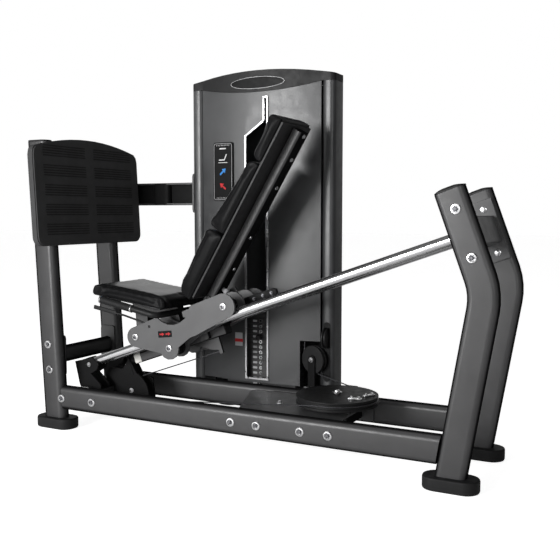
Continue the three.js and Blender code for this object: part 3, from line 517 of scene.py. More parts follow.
# nodes, material, slot and the width in mm of the rounded edges
REFINED = (
    ("near_base_rail far_base_rail near_front_upright far_front_upright near_rear_post far_rear_post "
     "front_cross_member middle_cross_member rear_cross_member front_crossbar carriage_tube seat_frame "
     "back_frame tower_base brace_arm", "frame_paint", "frame_paint", 1.2),
    ("tower_left_column tower_right_column tower_front_cover tower_rear_cover",
     "cover_paint", "frame_paint", 0.8),
    ("tower_top_beam", "frame_paint", "frame_paint", 0.8),
    ("rear_cross_box disc_mount_plate", "plate_paint", "frame_paint", 1.2),
    ("near_side_plate far_side_plate", "plate_paint", "carriage_paint", 1.2),
    ("near_front_foot far_front_foot near_rear_foot far_rear_foot", "rubber", "foot_rubber", 6.0),
    ("front_pulley base_disc low_pulley top_pulley_left top_pulley_right", "plastic", "black_plastic", 0.7),
    ("front_rollers lower_rollers rear_rollers", "ink", "black_plastic", 0.7),
    ("front_pulley_guard", "ink", "black_plastic", 1.2),
    ("tower_cap", "cap", "black_plastic", 2.0),
    ("rod_lower_bracket", "ink", "frame_paint", 1.0),
    ("resting_plates lifted_plates head_plate", "stack", "stack_steel", 0.5),
    ("near_guide_rod far_guide_rod", "chrome", "chrome", 1.0),
    ("slot_trim", "trim", "chrome", 1.5),
    ("foot_plate", "tread", "tread_plastic", 4.0),
    ("instruction_panel", "panel", "black_plastic", 1.5),
    ("adjust_lever", "plastic", "foot_rubber", 0.8),
    ("selector_pin", "rubber", "foot_rubber", 0.8),
    ("back_board", "board", "backing", 2.0),
    ("bumper", "bumper", "bumper", 2.0),
)


def refine_nodes():
    """Finer copies of the CAD nodes; the low pulley's fork and the brace arm's web are black."""
    shells = {}
    for nodes, material, slot, bevel in REFINED:
        for node in nodes.split():
            shells[node] = refine(node, material, bevel * MM)
    fork = joint_place("low_pulley_spin")
    paint_part(shells["tower_base"], "ink", lambda spot: (spot - fork).length < 0.13 and spot.z > 0.2)
    arm_z, plate_x = middle("brace_arm").z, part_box("brace_arm")[HIGH].x - 9 * MM
    paint_part(shells["brace_arm"], "ink", lambda spot: abs(spot.z - arm_z) < 41 * MM and spot.x < plate_x)


# ---------- cushions
VOXEL = 5 * MM
REST_DEPTH = 6 * MM
CORD_R = 0.9 * MM
CLOTH_FRAMES = 20


def pad_mesh(node, shrink):
    """CAD cushion, drawn in a little and remeshed into even small faces."""
    source = frame["nodes"][node]
    mesh = source.data.copy()
    low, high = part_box(node)
    centre = (low + high) / 2
    scale = [1 - shrink / max(size, 0.05) for size in (high - low)]
    mesh.transform(Matrix.Translation(centre) @ Matrix.Diagonal((*scale, 1)) @ Matrix.Translation(-centre))
    bm = bmesh.new()
    bm.from_mesh(mesh)
    bmesh.ops.remove_doubles(bm, verts=bm.verts[:], dist=2e-6)
    bm.to_mesh(mesh)
    bm.free()
    pad = in_scene(node + "_soft", mesh)
    modifier = pad.modifiers.new("grid", "REMESH")
    modifier.mode = "VOXEL"
    modifier.voxel_size = VOXEL
    return applied(pad)


def inflate(name, mesh, rest_plane, rest_normal, cap, pressure):
    """Cloth under pressure, held at the face that rests on its backing."""
    pad = in_scene(name, mesh)
    start = [vertex.co.copy() for vertex in mesh.vertices]
    group = pad.vertex_groups.new(name="rest")
    for vertex in mesh.vertices:
        if (vertex.co - rest_plane).dot(rest_normal) > -REST_DEPTH:
            group.add([vertex.index], 1.0, "REPLACE")
    cloth = pad.modifiers.new("cloth", "CLOTH")
    settings = cloth.settings
    settings.quality = 6
    settings.use_pressure = True
    settings.uniform_pressure_force = pressure
    settings.effector_weights.gravity = 0
    settings.vertex_group_mass = "rest"
    for kind, stiffness in (("tension", 25), ("compression", 20), ("shear", 10), ("bending", 2)):
        setattr(settings, kind + "_stiffness", stiffness)
    cloth.collision_settings.use_self_collision = False
    scene = bpy.context.scene
    for number in range(1, CLOTH_FRAMES + 1):
        scene.frame_set(number)
    swollen = applied(pad)
    scene.frame_set(1)
    for vertex, origin in zip(swollen.vertices, start):
        move = vertex.co - origin
        if move.length > cap:
            vertex.co = origin + move * (cap / move.length)
    return swollen


def soften(mesh, rounds):
    """Evens out the little steps that the voxels leave."""
    bm = bmesh.new()
    bm.from_mesh(mesh)
    for _ in range(rounds):
        bmesh.ops.smooth_vert(bm, verts=bm.verts[:], factor=0.5,
                              use_axis_x=True, use_axis_y=True, use_axis_z=True)
    bm.to_mesh(mesh)
    bm.free()


def subdivided(mesh, name):
    """The mesh with every face split in four and rounded."""
    piece = in_scene(name, mesh)
    modifier = piece.modifiers.new("fine", "SUBSURF")
    modifier.levels = 1
    modifier.render_levels = 1
    return applied(piece)


def ring_at(mesh, point, normal):
    """The closed line where a plane cuts a cushion, in order."""
    bm = bmesh.new()
    bm.from_mesh(mesh)
    geometry = bm.verts[:] + bm.edges[:] + bm.faces[:]
    cut = bmesh.ops.bisect_plane(bm, geom=geometry, plane_co=point, plane_no=normal, dist=1e-6)["geom_cut"]
    edges = [item for item in cut if isinstance(item, bmesh.types.BMEdge)]
    links = {}
    for edge in edges:
        a, b = edge.verts
        links.setdefault(a, []).append(b)
        links.setdefault(b, []).append(a)
    start = min(links, key=lambda vert: (round(vert.co.x, 5), round(vert.co.y, 5), round(vert.co.z, 5)))
    order, before, here = [start], None, start
    while True:
        onward = [vert for vert in links[here] if vert is not before]
        if not onward or onward[0] is start:
            break
        before, here = here, onward[0]
        order.append(here)
    points = [vert.co.copy() for vert in order]
    bm.free()
    return points


def evened(points, step):
    """Even spacing round a closed line."""
    total, marks = 0.0, [0.0]
    closed = [*points, points[0]]
    for a, b in zip(closed, closed[1:]):
        total += (b - a).length
        marks.append(total)
    count = max(24, int(total / step))
    even, k = [], 0
    for j in range(count):
        target = total * j / count
        while marks[k + 1] < target:
            k += 1
        share = (target - marks[k]) / max(1e-9, marks[k + 1] - marks[k])
        even.append(closed[k].lerp(closed[k + 1], share))
    for _ in range(3):
        even = [(even[j - 1] + even[j] * 2 + even[(j + 1) % count]) / 4 for j in range(count)]
    return even


def add_loop(bm, points, radius):
    """A closed round cord along a loop of points."""
    count = len(points)
    rings = []
    normal = sum(((points[k] - points[0]).cross(points[(k + 1) % count] - points[0]) for k in range(count)),
                 Vector()).normalized()
    for k, point in enumerate(points):
        ahead = (points[(k + 1) % count] - points[k - 1]).normalized()
        rings.append(add_ring(bm, point, ahead.cross(normal).normalized(), normal, radius, 8))
    for k in range(count):
        add_band(bm, rings[k], rings[(k + 1) % count])


def cushion(node, body, rest_plane, rest_normal, seam_depth, shrink, cap, pressure):
    """Upholstered pad blown up from its CAD solid, with a corded seam round it."""
    mesh = pad_mesh(node, shrink)
    soften(mesh, 2)
    mesh = inflate(node + "_cloth", mesh, rest_plane, rest_normal, cap, pressure)
    soften(mesh, 3)
    mesh = subdivided(mesh, node + "_fine")
    loop = evened(ring_at(mesh, rest_plane - rest_normal * seam_depth, rest_normal), 4 * MM)
    bm = bmesh.new()
    add_loop(bm, loop, CORD_R)
    finish_piece(f"{node}_seam_1", bm, "stitch", body, 60)
    pad = finish_mesh(node + "_cushion", mesh, "leather", body, 60)
    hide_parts(node)


SEAT_TILT = math.radians(7.5)
SEAT_UP = Vector((math.sin(SEAT_TILT), 0, math.cos(SEAT_TILT)))
SEAT_T = 47 * MM


def seat_corner():
    """Front top edge of the seat cushion's block, on the mid plane."""
    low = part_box("seat_pad")[LOW]
    return Vector((low.x - 1.0 * MM, MID_Y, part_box("seat_pad")[HIGH].z + 2.5 * MM))


def cushions():
    """The seat and the three pads of the back."""
    seat_rest = seat_corner() - SEAT_UP * SEAT_T
    cushion("seat_pad", "carriage", seat_rest, -SEAT_UP, 11 * MM, 4 * MM, 6 * MM, 3.5)
    rest = on_back(PIVOT_U, 355 * MM)
    for node in ("head_pad", "back_pad", "lumbar_pad"):
        cushion(node, "backrest", rest, BACK_REAR, 12 * MM, 3 * MM, 5 * MM, 3.0)


# ---------- fasteners
RING_BOLT_R = 17 * MM
RING_BOLT = scaled([(0, 1), (0.12, 1), (0.24, 0.88), (0.26, 0.66), (0.06, 0.56), (0, 0)], RING_BOLT_R)
RING_SOCKET = scaled([(0, 0.57), (0.1, 0.57), (0.1, 0.4), (0.3, 0.36), (0.34, 0.28), (0.34, 0)],
                     RING_BOLT_R)
AXLE_WASHER = mm([(0, 14), (2, 14), (3, 12.5), (3.2, 9), (1.5, 8.5), (1.5, 0)])
AXLE_SCREW = mm([(0, 8), (3, 7.6), (3.4, 5), (1.2, 4.4), (1.2, 0)])
WASHER_T = 1.4 * MM


def add_hex_bolt(bm, seat, out, flats, height):
    """Hex head with a chamfer on a round washer; its width over the flats and height are in mm."""
    r, height = flats / 2 * MM, height * MM
    washer_r, corner = r * 1.495, r / math.cos(math.pi / 6)
    add_turned(bm, seat, out, [(0, washer_r), (WASHER_T, washer_r), (WASHER_T, 0)], 32)
    head = [(0, corner), (height * 0.82, corner), (height, r * 0.86), (height, 0)]
    add_turned(bm, seat + out * (WASHER_T - 0.1 * MM), out, head, 6)


def frame_bolts():
    """Ring bolts through the rails, the uprights and the rear posts, and plain nuts inside."""
    near_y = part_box("near_base_rail")[LOW].y
    far_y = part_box("far_base_rail")[HIGH].y
    rail_z = middle("near_base_rail").z
    places = []
    for node, away in (("front_cross_member", 80), ("middle_cross_member", 54), ("rear_cross_member", 54)):
        x = middle(node).x
        places += [(x - away * MM, rail_z), (x + away * MM, rail_z)]
    crossbar = middle("front_crossbar")
    for dz in (-53 * MM, 53 * MM):
        places.append((crossbar.x - UPRIGHT_LEAN * dz, crossbar.z + dz))
    posts = [on_rods(1.721, t * MM) + X * 3 * MM for t in (-81, 81)]
    places += [(point.x, point.z) for point in posts]
    rings, sockets = bmesh.new(), bmesh.new()
    for y, out in ((near_y, -Y), (far_y, Y)):
        for x, z in places:
            add_turned(rings, Vector((x, y, z)), out, RING_BOLT, 40)
            add_turned(sockets, Vector((x, y, z)), out, RING_SOCKET, 6)
    finish_piece("frame_bolt_rings", rings, "zinc", "frame")
    finish_piece("frame_bolt_sockets", sockets, "dark_steel", "frame", 25)
    nuts = bmesh.new()
    for point in posts:
        for y, out in ((near_y + TUBE_T, Y), (far_y - TUBE_T, -Y)):
            add_hex_bolt(nuts, Vector((point.x, y, point.z)), out, 22, 9)
    deck_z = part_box("disc_mount_plate")[HIGH].z
    deck_x = joint_place("base_disc_spin").x - 234 * MM
    add_hex_bolt(nuts, Vector((deck_x, MID_Y - 18 * MM, deck_z)), Z, 16, 9)
    finish_piece("post_nuts", nuts, "zinc", "frame", 30)


def carriage_bolts():
    """Axle screws on both side plates."""
    washers, screws = bmesh.new(), bmesh.new()
    near_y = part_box("near_side_plate")[LOW].y
    far_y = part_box("far_side_plate")[HIGH].y
    for name in ("front_roller_spin", "lower_roller_spin", "rear_roller_spin"):
        centre = joint_place(name)
        for y, out in ((near_y, -Y), (far_y, Y)):
            seat = Vector((centre.x, y, centre.z)) + out * 0.3 * MM
            add_turned(washers, seat, out, AXLE_WASHER, 36)
            add_turned(screws, seat + out * WASHER_T, out, AXLE_SCREW, 24)
    finish_piece("carriage_axle_washers", washers, "zinc", "carriage")
    finish_piece("carriage_axle_screws", screws, "dark_steel", "carriage")


# ---------- tube ends
def tube_caps():
    """Moulded plugs in the open tops of the uprights, posts and carriage tube."""
    for side in ("near", "far"):
        low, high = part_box(f"{side}_front_upright")
        top_x = low.x + TUBE_W / 2 * math.hypot(1, UPRIGHT_LEAN)
        centre = Vector((top_x, (low.y + high.y) / 2, high.z + 0.4 * MM))
        outline = rounded(TUBE_W - 2 * MM, TUBE_T - MM, TUBE_R - MM)
        bm = bmesh.new()
        add_slab(bm, placed(outline, centre, X, Y), Z * 7 * MM, 3 * MM, 3)
        finish_piece(f"{side}_upright_cap", bm, "plastic", "frame")
        centre = on_rods(1.720, 144.5 * MM, middle(f"{side}_rear_post").y)
        bm = bmesh.new()
        add_dome(bm, rounded(TUBE_W - MM, TUBE_T - MM, TUBE_R - MM), centre, 4 * MM, 9 * MM)
        finish_piece(f"{side}_post_cap", bm, "plastic", "frame")
    outline = placed(rounded(45 * MM, 39 * MM, 5.5 * MM, 4), on_rods(652 * MM, -41 * MM), Y, ROD_UP)
    bm = bmesh.new()
    add_slab(bm, outline, ROD_DIR * 3 * MM, 1.2 * MM)
    finish_piece("carriage_tube_plug", bm, "plastic", "carriage")


def add_dome(bm, outline, centre, rim, crown):
    """A cap square to the rods whose top arches along its length."""
    half = max(a for a, _ in outline)
    steps = ((1.0, 0.0), (0.97, 0.55), (0.88, 0.85), (0.6, 0.97))
    rings = [[bm.verts.new(centre + ROD_DIR * a + Y * b) for a, b in outline]]
    for scale, lift in steps:
        ring = []
        for a, b in outline:
            arch = crown * (1 - (a * scale / half) ** 2) * lift
            spot = centre + ROD_DIR * a * scale + Y * b * scale + ROD_UP * (rim + arch)
            ring.append(bm.verts.new(spot))
        rings.append(ring)
    rings.append([bm.verts.new(centre + ROD_UP * (rim + crown))])
    for a, b in zip(rings, rings[1:]):
        add_band(bm, a, b)
    bm.faces.new(rings[0])


# ---------- foot plate
def foot_plate_ribs():
    """Fine cross ribs in two columns of five groups on the foot plate; their darker colour is painted shade
    for the lines between them.
    """
    low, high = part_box("foot_plate")
    up = Vector((-UPRIGHT_LEAN, 0, 1)).normalized()
    out = Vector((1, 0, UPRIGHT_LEAN)).normalized()
    foot = Vector((high.x, 0, low.z))
    rib_w, rib_h, rib_pitch, ribs = 252 * MM, 4.4 * MM, 10.2 * MM, 5
    first, group_pitch, groups = 48 * MM, 80 * MM, 5
    profile = rounded(rib_w, rib_h, rib_h / 2 - 0.05 * MM, 3)
    bm = bmesh.new()
    for column in (-1, 1):
        for group in range(groups):
            for rib in range(ribs):
                centre = foot + up * (first + group * group_pitch + rib * rib_pitch) - out * 1.2 * MM
                centre.y = MID_Y + column * 153 * MM
                add_slab(bm, placed(profile, centre, Y, up), out * 3.2 * MM, 0.8 * MM, 1)
    finish_piece("foot_plate_ribs", bm, "tread_rib", "frame", 30)


# ---------- handles
COLLAR = mm([(0, 13), (0, 15), (1, 15.9), (6, 15.9), (7, 15), (7, 13)])


def handles():
    """Bent tube beside the seat with a ribbed rubber grip and bright collars."""
    along = Vector((252, 0, -48)).normalized()
    bend = 27 * MM
    grip_l, rings = 150, 15
    step = (grip_l - 6) / rings
    profile = [(0, 13), (0, 15)]
    for k in range(rings):
        at = 3 + step * k
        profile += [(at, 15.4), (at + step * 0.84, 15.4)]
        profile += [(at + step * 0.88, 15.1), (at + step * 0.96, 15.1)]
    profile += [(grip_l, 15), (grip_l, 13)]
    for side, sign in (("near", 1), ("far", -1)):
        node = f"{side}_handle"
        low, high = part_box(node)
        outer_y = low.y + 15.6 * MM if sign > 0 else high.y - 15.6 * MM
        front = Vector((low.x + 2 * MM, outer_y, high.z - 15 * MM))
        rear = front + along * 256 * MM
        path = [front + along * 2 * MM, front + along * 120 * MM, rear]
        for k in range(1, 9):
            turn = math.radians(90 * k / 8)
            path.append(rear + Vector((bend * math.sin(turn), sign * bend * (1 - math.cos(turn)),
                                       -5 * MM * math.sin(turn))))
        path.append(Vector((path[-1].x, MID_Y - sign * 23.4 * MM, path[-1].z)))
        bm = bmesh.new()
        add_tube(bm, path, 12.6 * MM, 20)
        tube = finish_piece(f"{side}_handle_tube", bm, "plastic", "carriage", 50)
        grip = bmesh.new()
        add_turned(grip, front + along * 11 * MM, along, mm(profile), 32)
        finish_piece(f"{side}_grip", grip, "rubber", "carriage", 40)
        collars = bmesh.new()
        for at in (4 * MM, 162 * MM):
            add_turned(collars, front + along * at, along, COLLAR, 36)
        finish_piece(f"{side}_grip_collars", collars, "zinc", "carriage")
        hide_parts(node)


# ---------- backrest
BACK_TUBE_REAR = 405 * MM


def backrest_hardware():
    """Screws behind the backrest tube and the knob of its pop pin."""
    bm = bmesh.new()
    for u in (1627, 1528, 1406, 1183, 1037):
        add_hex_bolt(bm, on_back(u * MM, BACK_TUBE_REAR), BACK_REAR, 11, 5)
    finish_piece("backrest_screws", bm, "zinc", "backrest", 30)
    knob = bmesh.new()
    profile = mm([(0, 9), (10, 9), (11, 12), (14, 14), (22, 14), (26, 11), (27, 0)])
    add_turned(knob, on_back(941 * MM, BACK_TUBE_REAR), BACK_REAR, profile, 28)
    finish_piece("recline_knob", knob, "mark", "backrest", 50)


def recline_rack():
    """Bar behind the pivot that the backrest's pin locks into."""
    half = 8 * MM
    outline = mm([(764, 20), (906, 20), (916, 30), (916, 44), (906, 52), (770, 52), (764, 44)])
    bar = bmesh.new()
    add_slab(bar, [on_rods(s, t, MID_Y - half) for s, t in outline], Y * 2 * half, 2 * MM)
    finish_piece("recline_rack", bar, "ink", "carriage")
    bm = bmesh.new()
    for s in (812, 854, 893):
        add_hex_bolt(bm, on_rods(s * MM, 37 * MM, MID_Y - half), -Y, 9, 5)
    finish_piece("recline_rack_bolts", bm, "dark_steel", "carriage", 30)
    arm = bmesh.new()
    left = MID_Y + 12 * MM
    add_tube(arm, [on_rods(690 * MM, 40 * MM, left), on_rods(780 * MM, 38 * MM, left)], 13 * MM, 20)
    finish_piece("recline_rack_arm", arm, "ink", "carriage", 50)


# ---------- side details
def carriage_label():
    """Small generic badge on both side plates: a black plate with two red arrows."""
    right = Vector((0.98, 0, 0.12)).normalized()
    up = Vector((-right.z, 0, right.x))
    arrow = [(-11, -3), (1, -3), (1, -7), (12, 0), (1, 7), (1, 3), (-11, 3)]
    thick = 0.8 * MM
    for side, out in (("near", -Y), ("far", Y)):
        low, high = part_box(f"{side}_side_plate")
        y = (low.y if side == "near" else high.y) + out.y * 0.3 * MM
        centre = Vector((low.x + 188 * MM, y, low.z + 102 * MM))
        plate = bmesh.new()
        outline = rounded(66 * MM, 26 * MM, 3 * MM)
        add_slab(plate, placed(outline, centre, right, up), out * thick, 0.3 * MM, 1)
        finish_piece(f"{side}_badge", plate, "panel", "carriage")
        arrows = bmesh.new()
        for dx in (-15, 15):
            outline = mm([(a + dx, b) for a, b in arrow])
            add_slab(arrows, placed(outline, centre + out * thick, right, up), out * 0.4 * MM)
        finish_piece(f"{side}_badge_arrows", arrows, "red", "carriage")


# ---------- tower
def patch_on_cover(bm, limits, half, out, thick, columns):
    """A thin plate that follows the bow of the cover; limits(dx) gives its low and high z."""
    spots = [-half + 2 * half * k / columns for k in range(columns + 1)]
    layers = []
    for depth in (out, out + thick):
        rows = [[on_cover(dx, limits(dx)[end], depth) for dx in spots] for end in (0, 1)]
        layers.append([[bm.verts.new(point) for point in row] for row in rows])
    for k in range(columns):
        for bottom, top in layers:
            bm.faces.new([bottom[k], bottom[k + 1], top[k + 1], top[k]])
        for row in (0, 1):
            inner, outer = layers[0][row], layers[1][row]
            bm.faces.new([inner[k], inner[k + 1], outer[k + 1], outer[k]])
    for k in (0, columns):
        bm.faces.new([layers[0][0][k], layers[0][1][k], layers[1][1][k], layers[1][0][k]])


def tower_badge():
    """Blank lens-shaped plaque on the cap's valance, with a raised rim."""
    centre_z = CAP_BOX[HIGH].z - 51 * MM
    half, tall, rim_w = 127 * MM, 24 * MM, 2.4 * MM

    def lens(tall_now, half_now):
        def limits(dx):
            reach = tall_now * math.sqrt(max(0.0, 1 - (dx / half_now) ** 2)) + 0.2 * MM
            return centre_z - reach, centre_z + reach
        return limits

    rim = bmesh.new()
    patch_on_cover(rim, lens(tall, half), half, 0.3 * MM, 1.6 * MM, 40)
    finish_piece("cap_plaque_rim", rim, "rim", "frame", 30)
    face = bmesh.new()
    patch_on_cover(face, lens(tall - 1.6 * MM, half - rim_w), half - rim_w, 1.0 * MM, 1.7 * MM, 40)
    finish_piece("cap_plaque", face, "panel", "frame", 30)


def tower_panel():
    """Outline and three plain pictograms on the instruction panel."""
    low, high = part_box("instruction_panel")
    right = Vector((high.x - low.x, low.y - high.y + 5 * MM, 0)).normalized()
    out = Vector((right.y, -right.x, 0))
    front = (low + high) / 2 + out * (abs(out.y) * 2.5 * MM + 0.6 * MM)
    ink = out * 0.45 * MM
    bm = bmesh.new()
    outer = placed(rounded(95 * MM, 238 * MM, 11 * MM), front, right, Z)
    inner = placed(rounded(91.5 * MM, 234.5 * MM, 9.5 * MM), front, right, Z)
    add_frame(bm, outer, inner, out * 0.5 * MM)
    finish_piece("panel_outline", bm, "mark", "frame")
    bm = bmesh.new()
    for z in (111, -111):
        for x in range(-32, 33, 8):
            slash = [(x - 1.4, z - 2.5), (x + 0.4, z - 2.5), (x + 2.4, z + 2.5), (x + 0.6, z + 2.5)]
            add_slab(bm, placed(mm(slash), front, right, Z), ink)
    title = rounded(34 * MM, 5 * MM, 2 * MM, 3)
    add_slab(bm, placed(title, front + Z * 97 * MM, right, Z), ink)
    seat_bar, back_bar = [(-20, -8), (6, -8), (6, -3), (-20, -3)], [(4, -8), (9, -8), (22, 18), (17, 19)]
    floor_line = [(-24, -18), (24, -18), (24, -15.5), (-24, -15.5)]
    for outline in (seat_bar, back_bar, floor_line):
        add_slab(bm, placed(mm(outline), front + Z * 55 * MM, right, Z), ink)
    finish_piece("panel_marks", bm, "white", "frame")
    arrow = mm([(-19, -4), (3, -4), (3, -12), (21, 0), (3, 12), (3, 4), (-19, 4)])
    for name, dz, turn in (("blue", 0, 40), ("red", -62, 140)):
        angle = math.radians(turn)
        a = right * math.cos(angle) + Z * math.sin(angle)
        b = right * -math.sin(angle) + Z * math.cos(angle)
        bm = bmesh.new()
        add_slab(bm, placed(arrow, front + Z * dz * MM, a, b), out * 0.5 * MM)
        finish_piece(f"panel_arrow_{name}", bm, name, "frame")


def add_frame(bm, outer, inner, depth):
    """A flat ring between two outlines with the same number of points."""
    rings = []
    for outline, lift in ((outer, 0), (outer, 1), (inner, 1), (inner, 0)):
        rings.append([bm.verts.new(p + depth * lift) for p in outline])
    for k in range(4):
        add_band(bm, rings[k], rings[(k + 1) % 4])


def tower_label():
    """Blank label with a red stripe beside the slot."""
    dx = -91 * MM
    for name, material, limits, out in (("tower_label", "mark", (0.335, 0.392), 0.2 * MM),
                                        ("tower_label_stripe", "red", (0.352, 0.366), 0.9 * MM)):
        bm = bmesh.new()
        patch_on_cover(bm, lambda _, ends=limits: ends, 19 * MM, out, 0.6 * MM, 4)
        for vertex in bm.verts:
            vertex.co.x += dx
            vertex.co.y += BOW * (dx / SHROUD_HALF) ** 2
        finish_piece(name, bm, material, "frame")


def stack_marks():
    """A pale tab and a ringed pin hole on the front of every plate."""
    pitch = 22.4 * MM
    pin_hole = mm([(0, 7.6), (1.2, 7.2), (1.2, 5.2), (0, 5)])
    tab = rounded(20 * MM, 9 * MM, 2 * MM, 3)
    for node, body, count in (("resting_plates", "frame", 10), ("lifted_plates", "stack", 4)):
        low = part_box(node)[LOW]
        tabs, holes = bmesh.new(), bmesh.new()
        for k in range(count):
            seat = Vector((TOWER_X, low.y - 0.2 * MM, low.z + pitch * k + 10 * MM))
            add_slab(tabs, placed(tab, seat - X * 27 * MM, X, Z), -Y * 0.8 * MM, 0.2 * MM, 1)
            add_turned(holes, seat, -Y, pin_hole, 24)
        finish_piece(f"{node}_tabs", tabs, "mark", body)
        finish_piece(f"{node}_pin_holes", holes, "zinc", body)


def column_pulley():
    """Near-black sheet on the right column as painted shade for its opening, with the front half of a
    pulley in it.
    """
    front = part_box("tower_right_column")[LOW].y
    x = middle("tower_right_column").x
    # The near-black sheet stands in for the shade inside the opening: painted shade.
    outline = placed(rounded(31 * MM, 246 * MM, 15 * MM), Vector((x, front - 0.3 * MM, 0.336)), X, Z)
    opening_shade = bmesh.new()
    add_slab(opening_shade, outline, -Y * 1.2 * MM, 0.5 * MM, 1)
    finish_piece("column_opening_shade", opening_shade, "panel", "frame")
    wheel = bmesh.new()
    half, r = 8, 43
    cheek = [(0, 0), (0, 12), (1.5, 14), (2.5, r - 6), (0, r - 4), (0, r), (4, r)]
    profile = [*cheek, (half, r - 6), *[(2 * half - along, radius) for along, radius in reversed(cheek)]]
    add_turned(wheel, Vector((x - half * MM, front, 0.394)), X, mm(profile), 48)
    bmesh.ops.bisect_plane(wheel, geom=wheel.verts[:] + wheel.edges[:] + wheel.faces[:],
                           plane_co=(0, front - 1.8 * MM, 0), plane_no=(0, 1, 0), clear_outer=True)
    bmesh.ops.holes_fill(wheel, edges=[edge for edge in wheel.edges if edge.is_boundary])
    finish_piece("column_pulley_wheel", wheel, "plastic", "frame")


# ---------- base hardware
def disc_details():
    """Centre cap, cable clamps and stay of the big disc."""
    centre = joint_place("base_disc_spin")
    disc_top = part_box("base_disc")[HIGH].z
    cap = mm([(0, 19), (2, 19), (3, 17), (3, 11), (8, 10), (10, 7), (10, 0)])
    bm = bmesh.new()
    add_turned(bm, Vector((centre.x, centre.y, disc_top + 6.5 * MM)), Z, cap, 40)
    finish_piece("disc_axle_cap", bm, "zinc", "frame")
    clamp = bmesh.new()
    for x, y, turn in ((92, -52, 12), (118, 22, 60)):
        angle = math.radians(turn)
        right = Vector((math.cos(angle), math.sin(angle), 0))
        up = Vector((-right.y, right.x, 0))
        base = Vector((centre.x + x * MM, centre.y + y * MM, disc_top + 0.2 * MM))
        add_slab(clamp, placed(rounded(52 * MM, 16 * MM, 4 * MM, 4), base, right, up), Z * 5 * MM, MM)
        for along in (14 * MM, -14 * MM):
            add_hex_bolt(clamp, base + right * along + Z * 5 * MM, Z, 10, 5)
    finish_piece("disc_cable_clamps", clamp, "zinc", "disc", 30)
    stay = bmesh.new()
    foot = Vector((centre.x + 66 * MM, MID_Y - 60 * MM, 0.112))
    head = Vector((centre.x + 8 * MM, MID_Y + 30 * MM, 0.182))
    add_tube(stay, [foot, foot.lerp(head, 0.5), head], 4 * MM, 14)
    finish_piece("disc_stay", stay, "zinc", "frame", 50)


def pulley_bolts():
    """Axle bolts of the front, low and top pulleys."""
    caps = bmesh.new()
    for name, away in (("front_pulley_spin", 24.2), ("low_pulley_spin", 19.2)):
        axis = Vector(JOINTS[name]["axis"])
        for out in (-axis, axis):
            add_hex_bolt(caps, joint_place(name) + out * away * MM, out, 14, 7)
    for name in ("top_left_pulley_spin", "top_right_pulley_spin"):
        add_hex_bolt(caps, joint_place(name) - Y * 11.2 * MM, -Y, 13, 6)
    finish_piece("pulley_axle_bolts", caps, "zinc", "frame", 30)


def bracket_bolts():
    """Screws on the rod sockets, the tower plate and the brace arm."""
    bm = bmesh.new()
    for side in (-1, 1):
        for out in (-1, 1):
            y = MID_Y + (side * 85 + out * 30.2) * MM
            add_hex_bolt(bm, on_rods(8 * MM, -4 * MM, y), Y * out, 13, 6)
    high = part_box("brace_arm")[HIGH]
    for dy in (-58, 58):
        for dz in (-62, 62):
            y, z = high.y + (dy - 78) * MM, middle("brace_arm").z + dz * MM
            add_hex_bolt(bm, Vector((high.x - 8.2 * MM, y, z)), -X, 15, 7)
    finish_piece("bracket_screws", bm, "zinc", "frame", 30)


# ---------- cables
CABLE_R = 2.5 * MM


def straight_cable(name, start, end, node):
    """A straight run of cable between two points, in place of a CAD node."""
    bm = bmesh.new()
    steps = 60
    add_tube(bm, [start.lerp(end, k / steps) for k in range(steps + 1)], CABLE_R, 14)
    piece = finish_piece(name, bm, "cable", None, 50)
    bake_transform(piece)
    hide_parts(node)


def cables():
    """The carriage's cable, the stack's cable and the one along the base."""
    low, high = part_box("carriage_cable")
    start = Vector((low.x + 0.8 * MM, MID_Y, low.z + 2.4 * MM))
    end = Vector((high.x - 0.8 * MM, MID_Y, high.z - 2.4 * MM))
    straight_cable("carriage_cable_run", start, end, "carriage_cable")
    low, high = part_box("stack_cable")
    x, y = (low.x + high.x) / 2, (low.y + high.y) / 2
    straight_cable("stack_cable_run", Vector((x, y, high.z)), Vector((x, y, low.z)), "stack_cable")
    refine("base_cable", "cable", 0, 60)


# ---------- stage
KEY_POWER = 190
FILL_POWER = 26
TOP_POWER = 12


def pale_floor():
    """Matt white floor that lights itself a little, so it meets the backdrop."""
    shader = Shader("floor_pale", (0.9, 0.9, 0.9), 0.8)
    shader.bump(shader.noise(300, 2), 0.0001, 0.2)
    camera_ray = shader.add("ShaderNodeLightPath").outputs["Is Camera Ray"]
    shader.fix("Emission Color", (1, 1, 1, 1))
    shader.drive("Emission Strength", combine(shader.tree, "MULTIPLY", camera_ray, 0.86))
    return shader.finish()


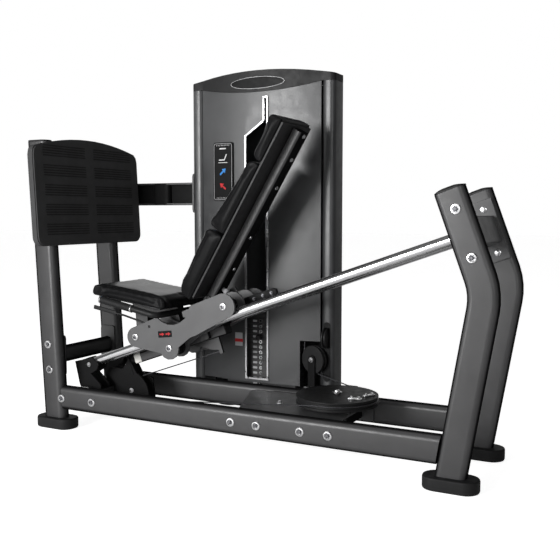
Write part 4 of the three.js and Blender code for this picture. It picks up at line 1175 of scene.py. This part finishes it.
def studio_world():
    """White to the camera; for light, bright at the horizon, dim overhead and on the right."""
    world = bpy.data.worlds.new("studio")
    bpy.context.scene.world = world
    world.use_nodes = True
    tree = world.node_tree
    background = tree.nodes["Background"]
    background.inputs["Color"].default_value = (1, 1, 1, 1)
    split = tree.nodes.new("ShaderNodeSeparateXYZ")
    tree.links.new(tree.nodes.new("ShaderNodeTexCoord").outputs["Generated"], split.inputs["Vector"])
    overhead = map_range(tree, split.outputs["Z"], (0.12, 0.5, 0.85, 0.10), "SMOOTHSTEP")
    to_right = map_range(tree, split.outputs["X"], (-0.1, 0.5, 1.0, 0.22), "SMOOTHSTEP")
    camera_ray = tree.nodes.new("ShaderNodeLightPath").outputs["Is Camera Ray"]
    strength = combine(tree, "MAXIMUM", combine(tree, "MULTIPLY", overhead, to_right), camera_ray)
    tree.links.new(strength, background.inputs["Strength"])


def stage():
    """Pale floor, soft studio lights and the camera."""
    floor_material = pale_floor()
    bpy.ops.mesh.primitive_plane_add(size=60, location=(0, 0, 0))
    floor = bpy.context.object
    floor.name = "floor"
    floor.data.materials.append(floor_material)
    studio_world()
    soft_light("key", (-1.7, -4.6, 1.5), (0, 0, 0.6), 2.2, KEY_POWER)
    soft_light("fill", (3.4, -4.2, 1.9), (0.3, 0, 0.6), 1.6, FILL_POWER)
    soft_light("top", (0.2, -0.4, 4.2), (0, 0, 0.4), 2.6, TOP_POWER)
    camera = bpy.data.cameras.new("camera")
    camera.lens = 50.6
    camera.sensor_width = 36
    holder = in_scene("camera", camera)
    holder.location = (1.482, -2.7825, 0.901)
    holder.rotation_euler = (math.radians(90 - 4.849), 0, math.radians(27.267))
    bpy.context.scene.camera = holder


def soft_light(name, place, target, size, power):
    """A round area light that looks at a target."""
    light = bpy.data.lights.new(name, "AREA")
    light.shape = "DISK"
    light.size = size
    light.energy = power
    lamp = in_scene(name, light)
    lamp.location = place
    direction = Vector(target) - Vector(place)
    lamp.rotation_euler = direction.to_track_quat("-Z", "Y").to_euler()


refine_nodes()
cushions()
frame_bolts()
carriage_bolts()
tube_caps()
foot_plate_ribs()
handles()
backrest_hardware()
recline_rack()
carriage_label()
tower_badge()
tower_panel()
tower_label()
stack_marks()
column_pulley()
disc_details()
pulley_bolts()
bracket_bolts()
cables()
stage()
bpy.context.scene.view_settings.view_transform = "Standard"
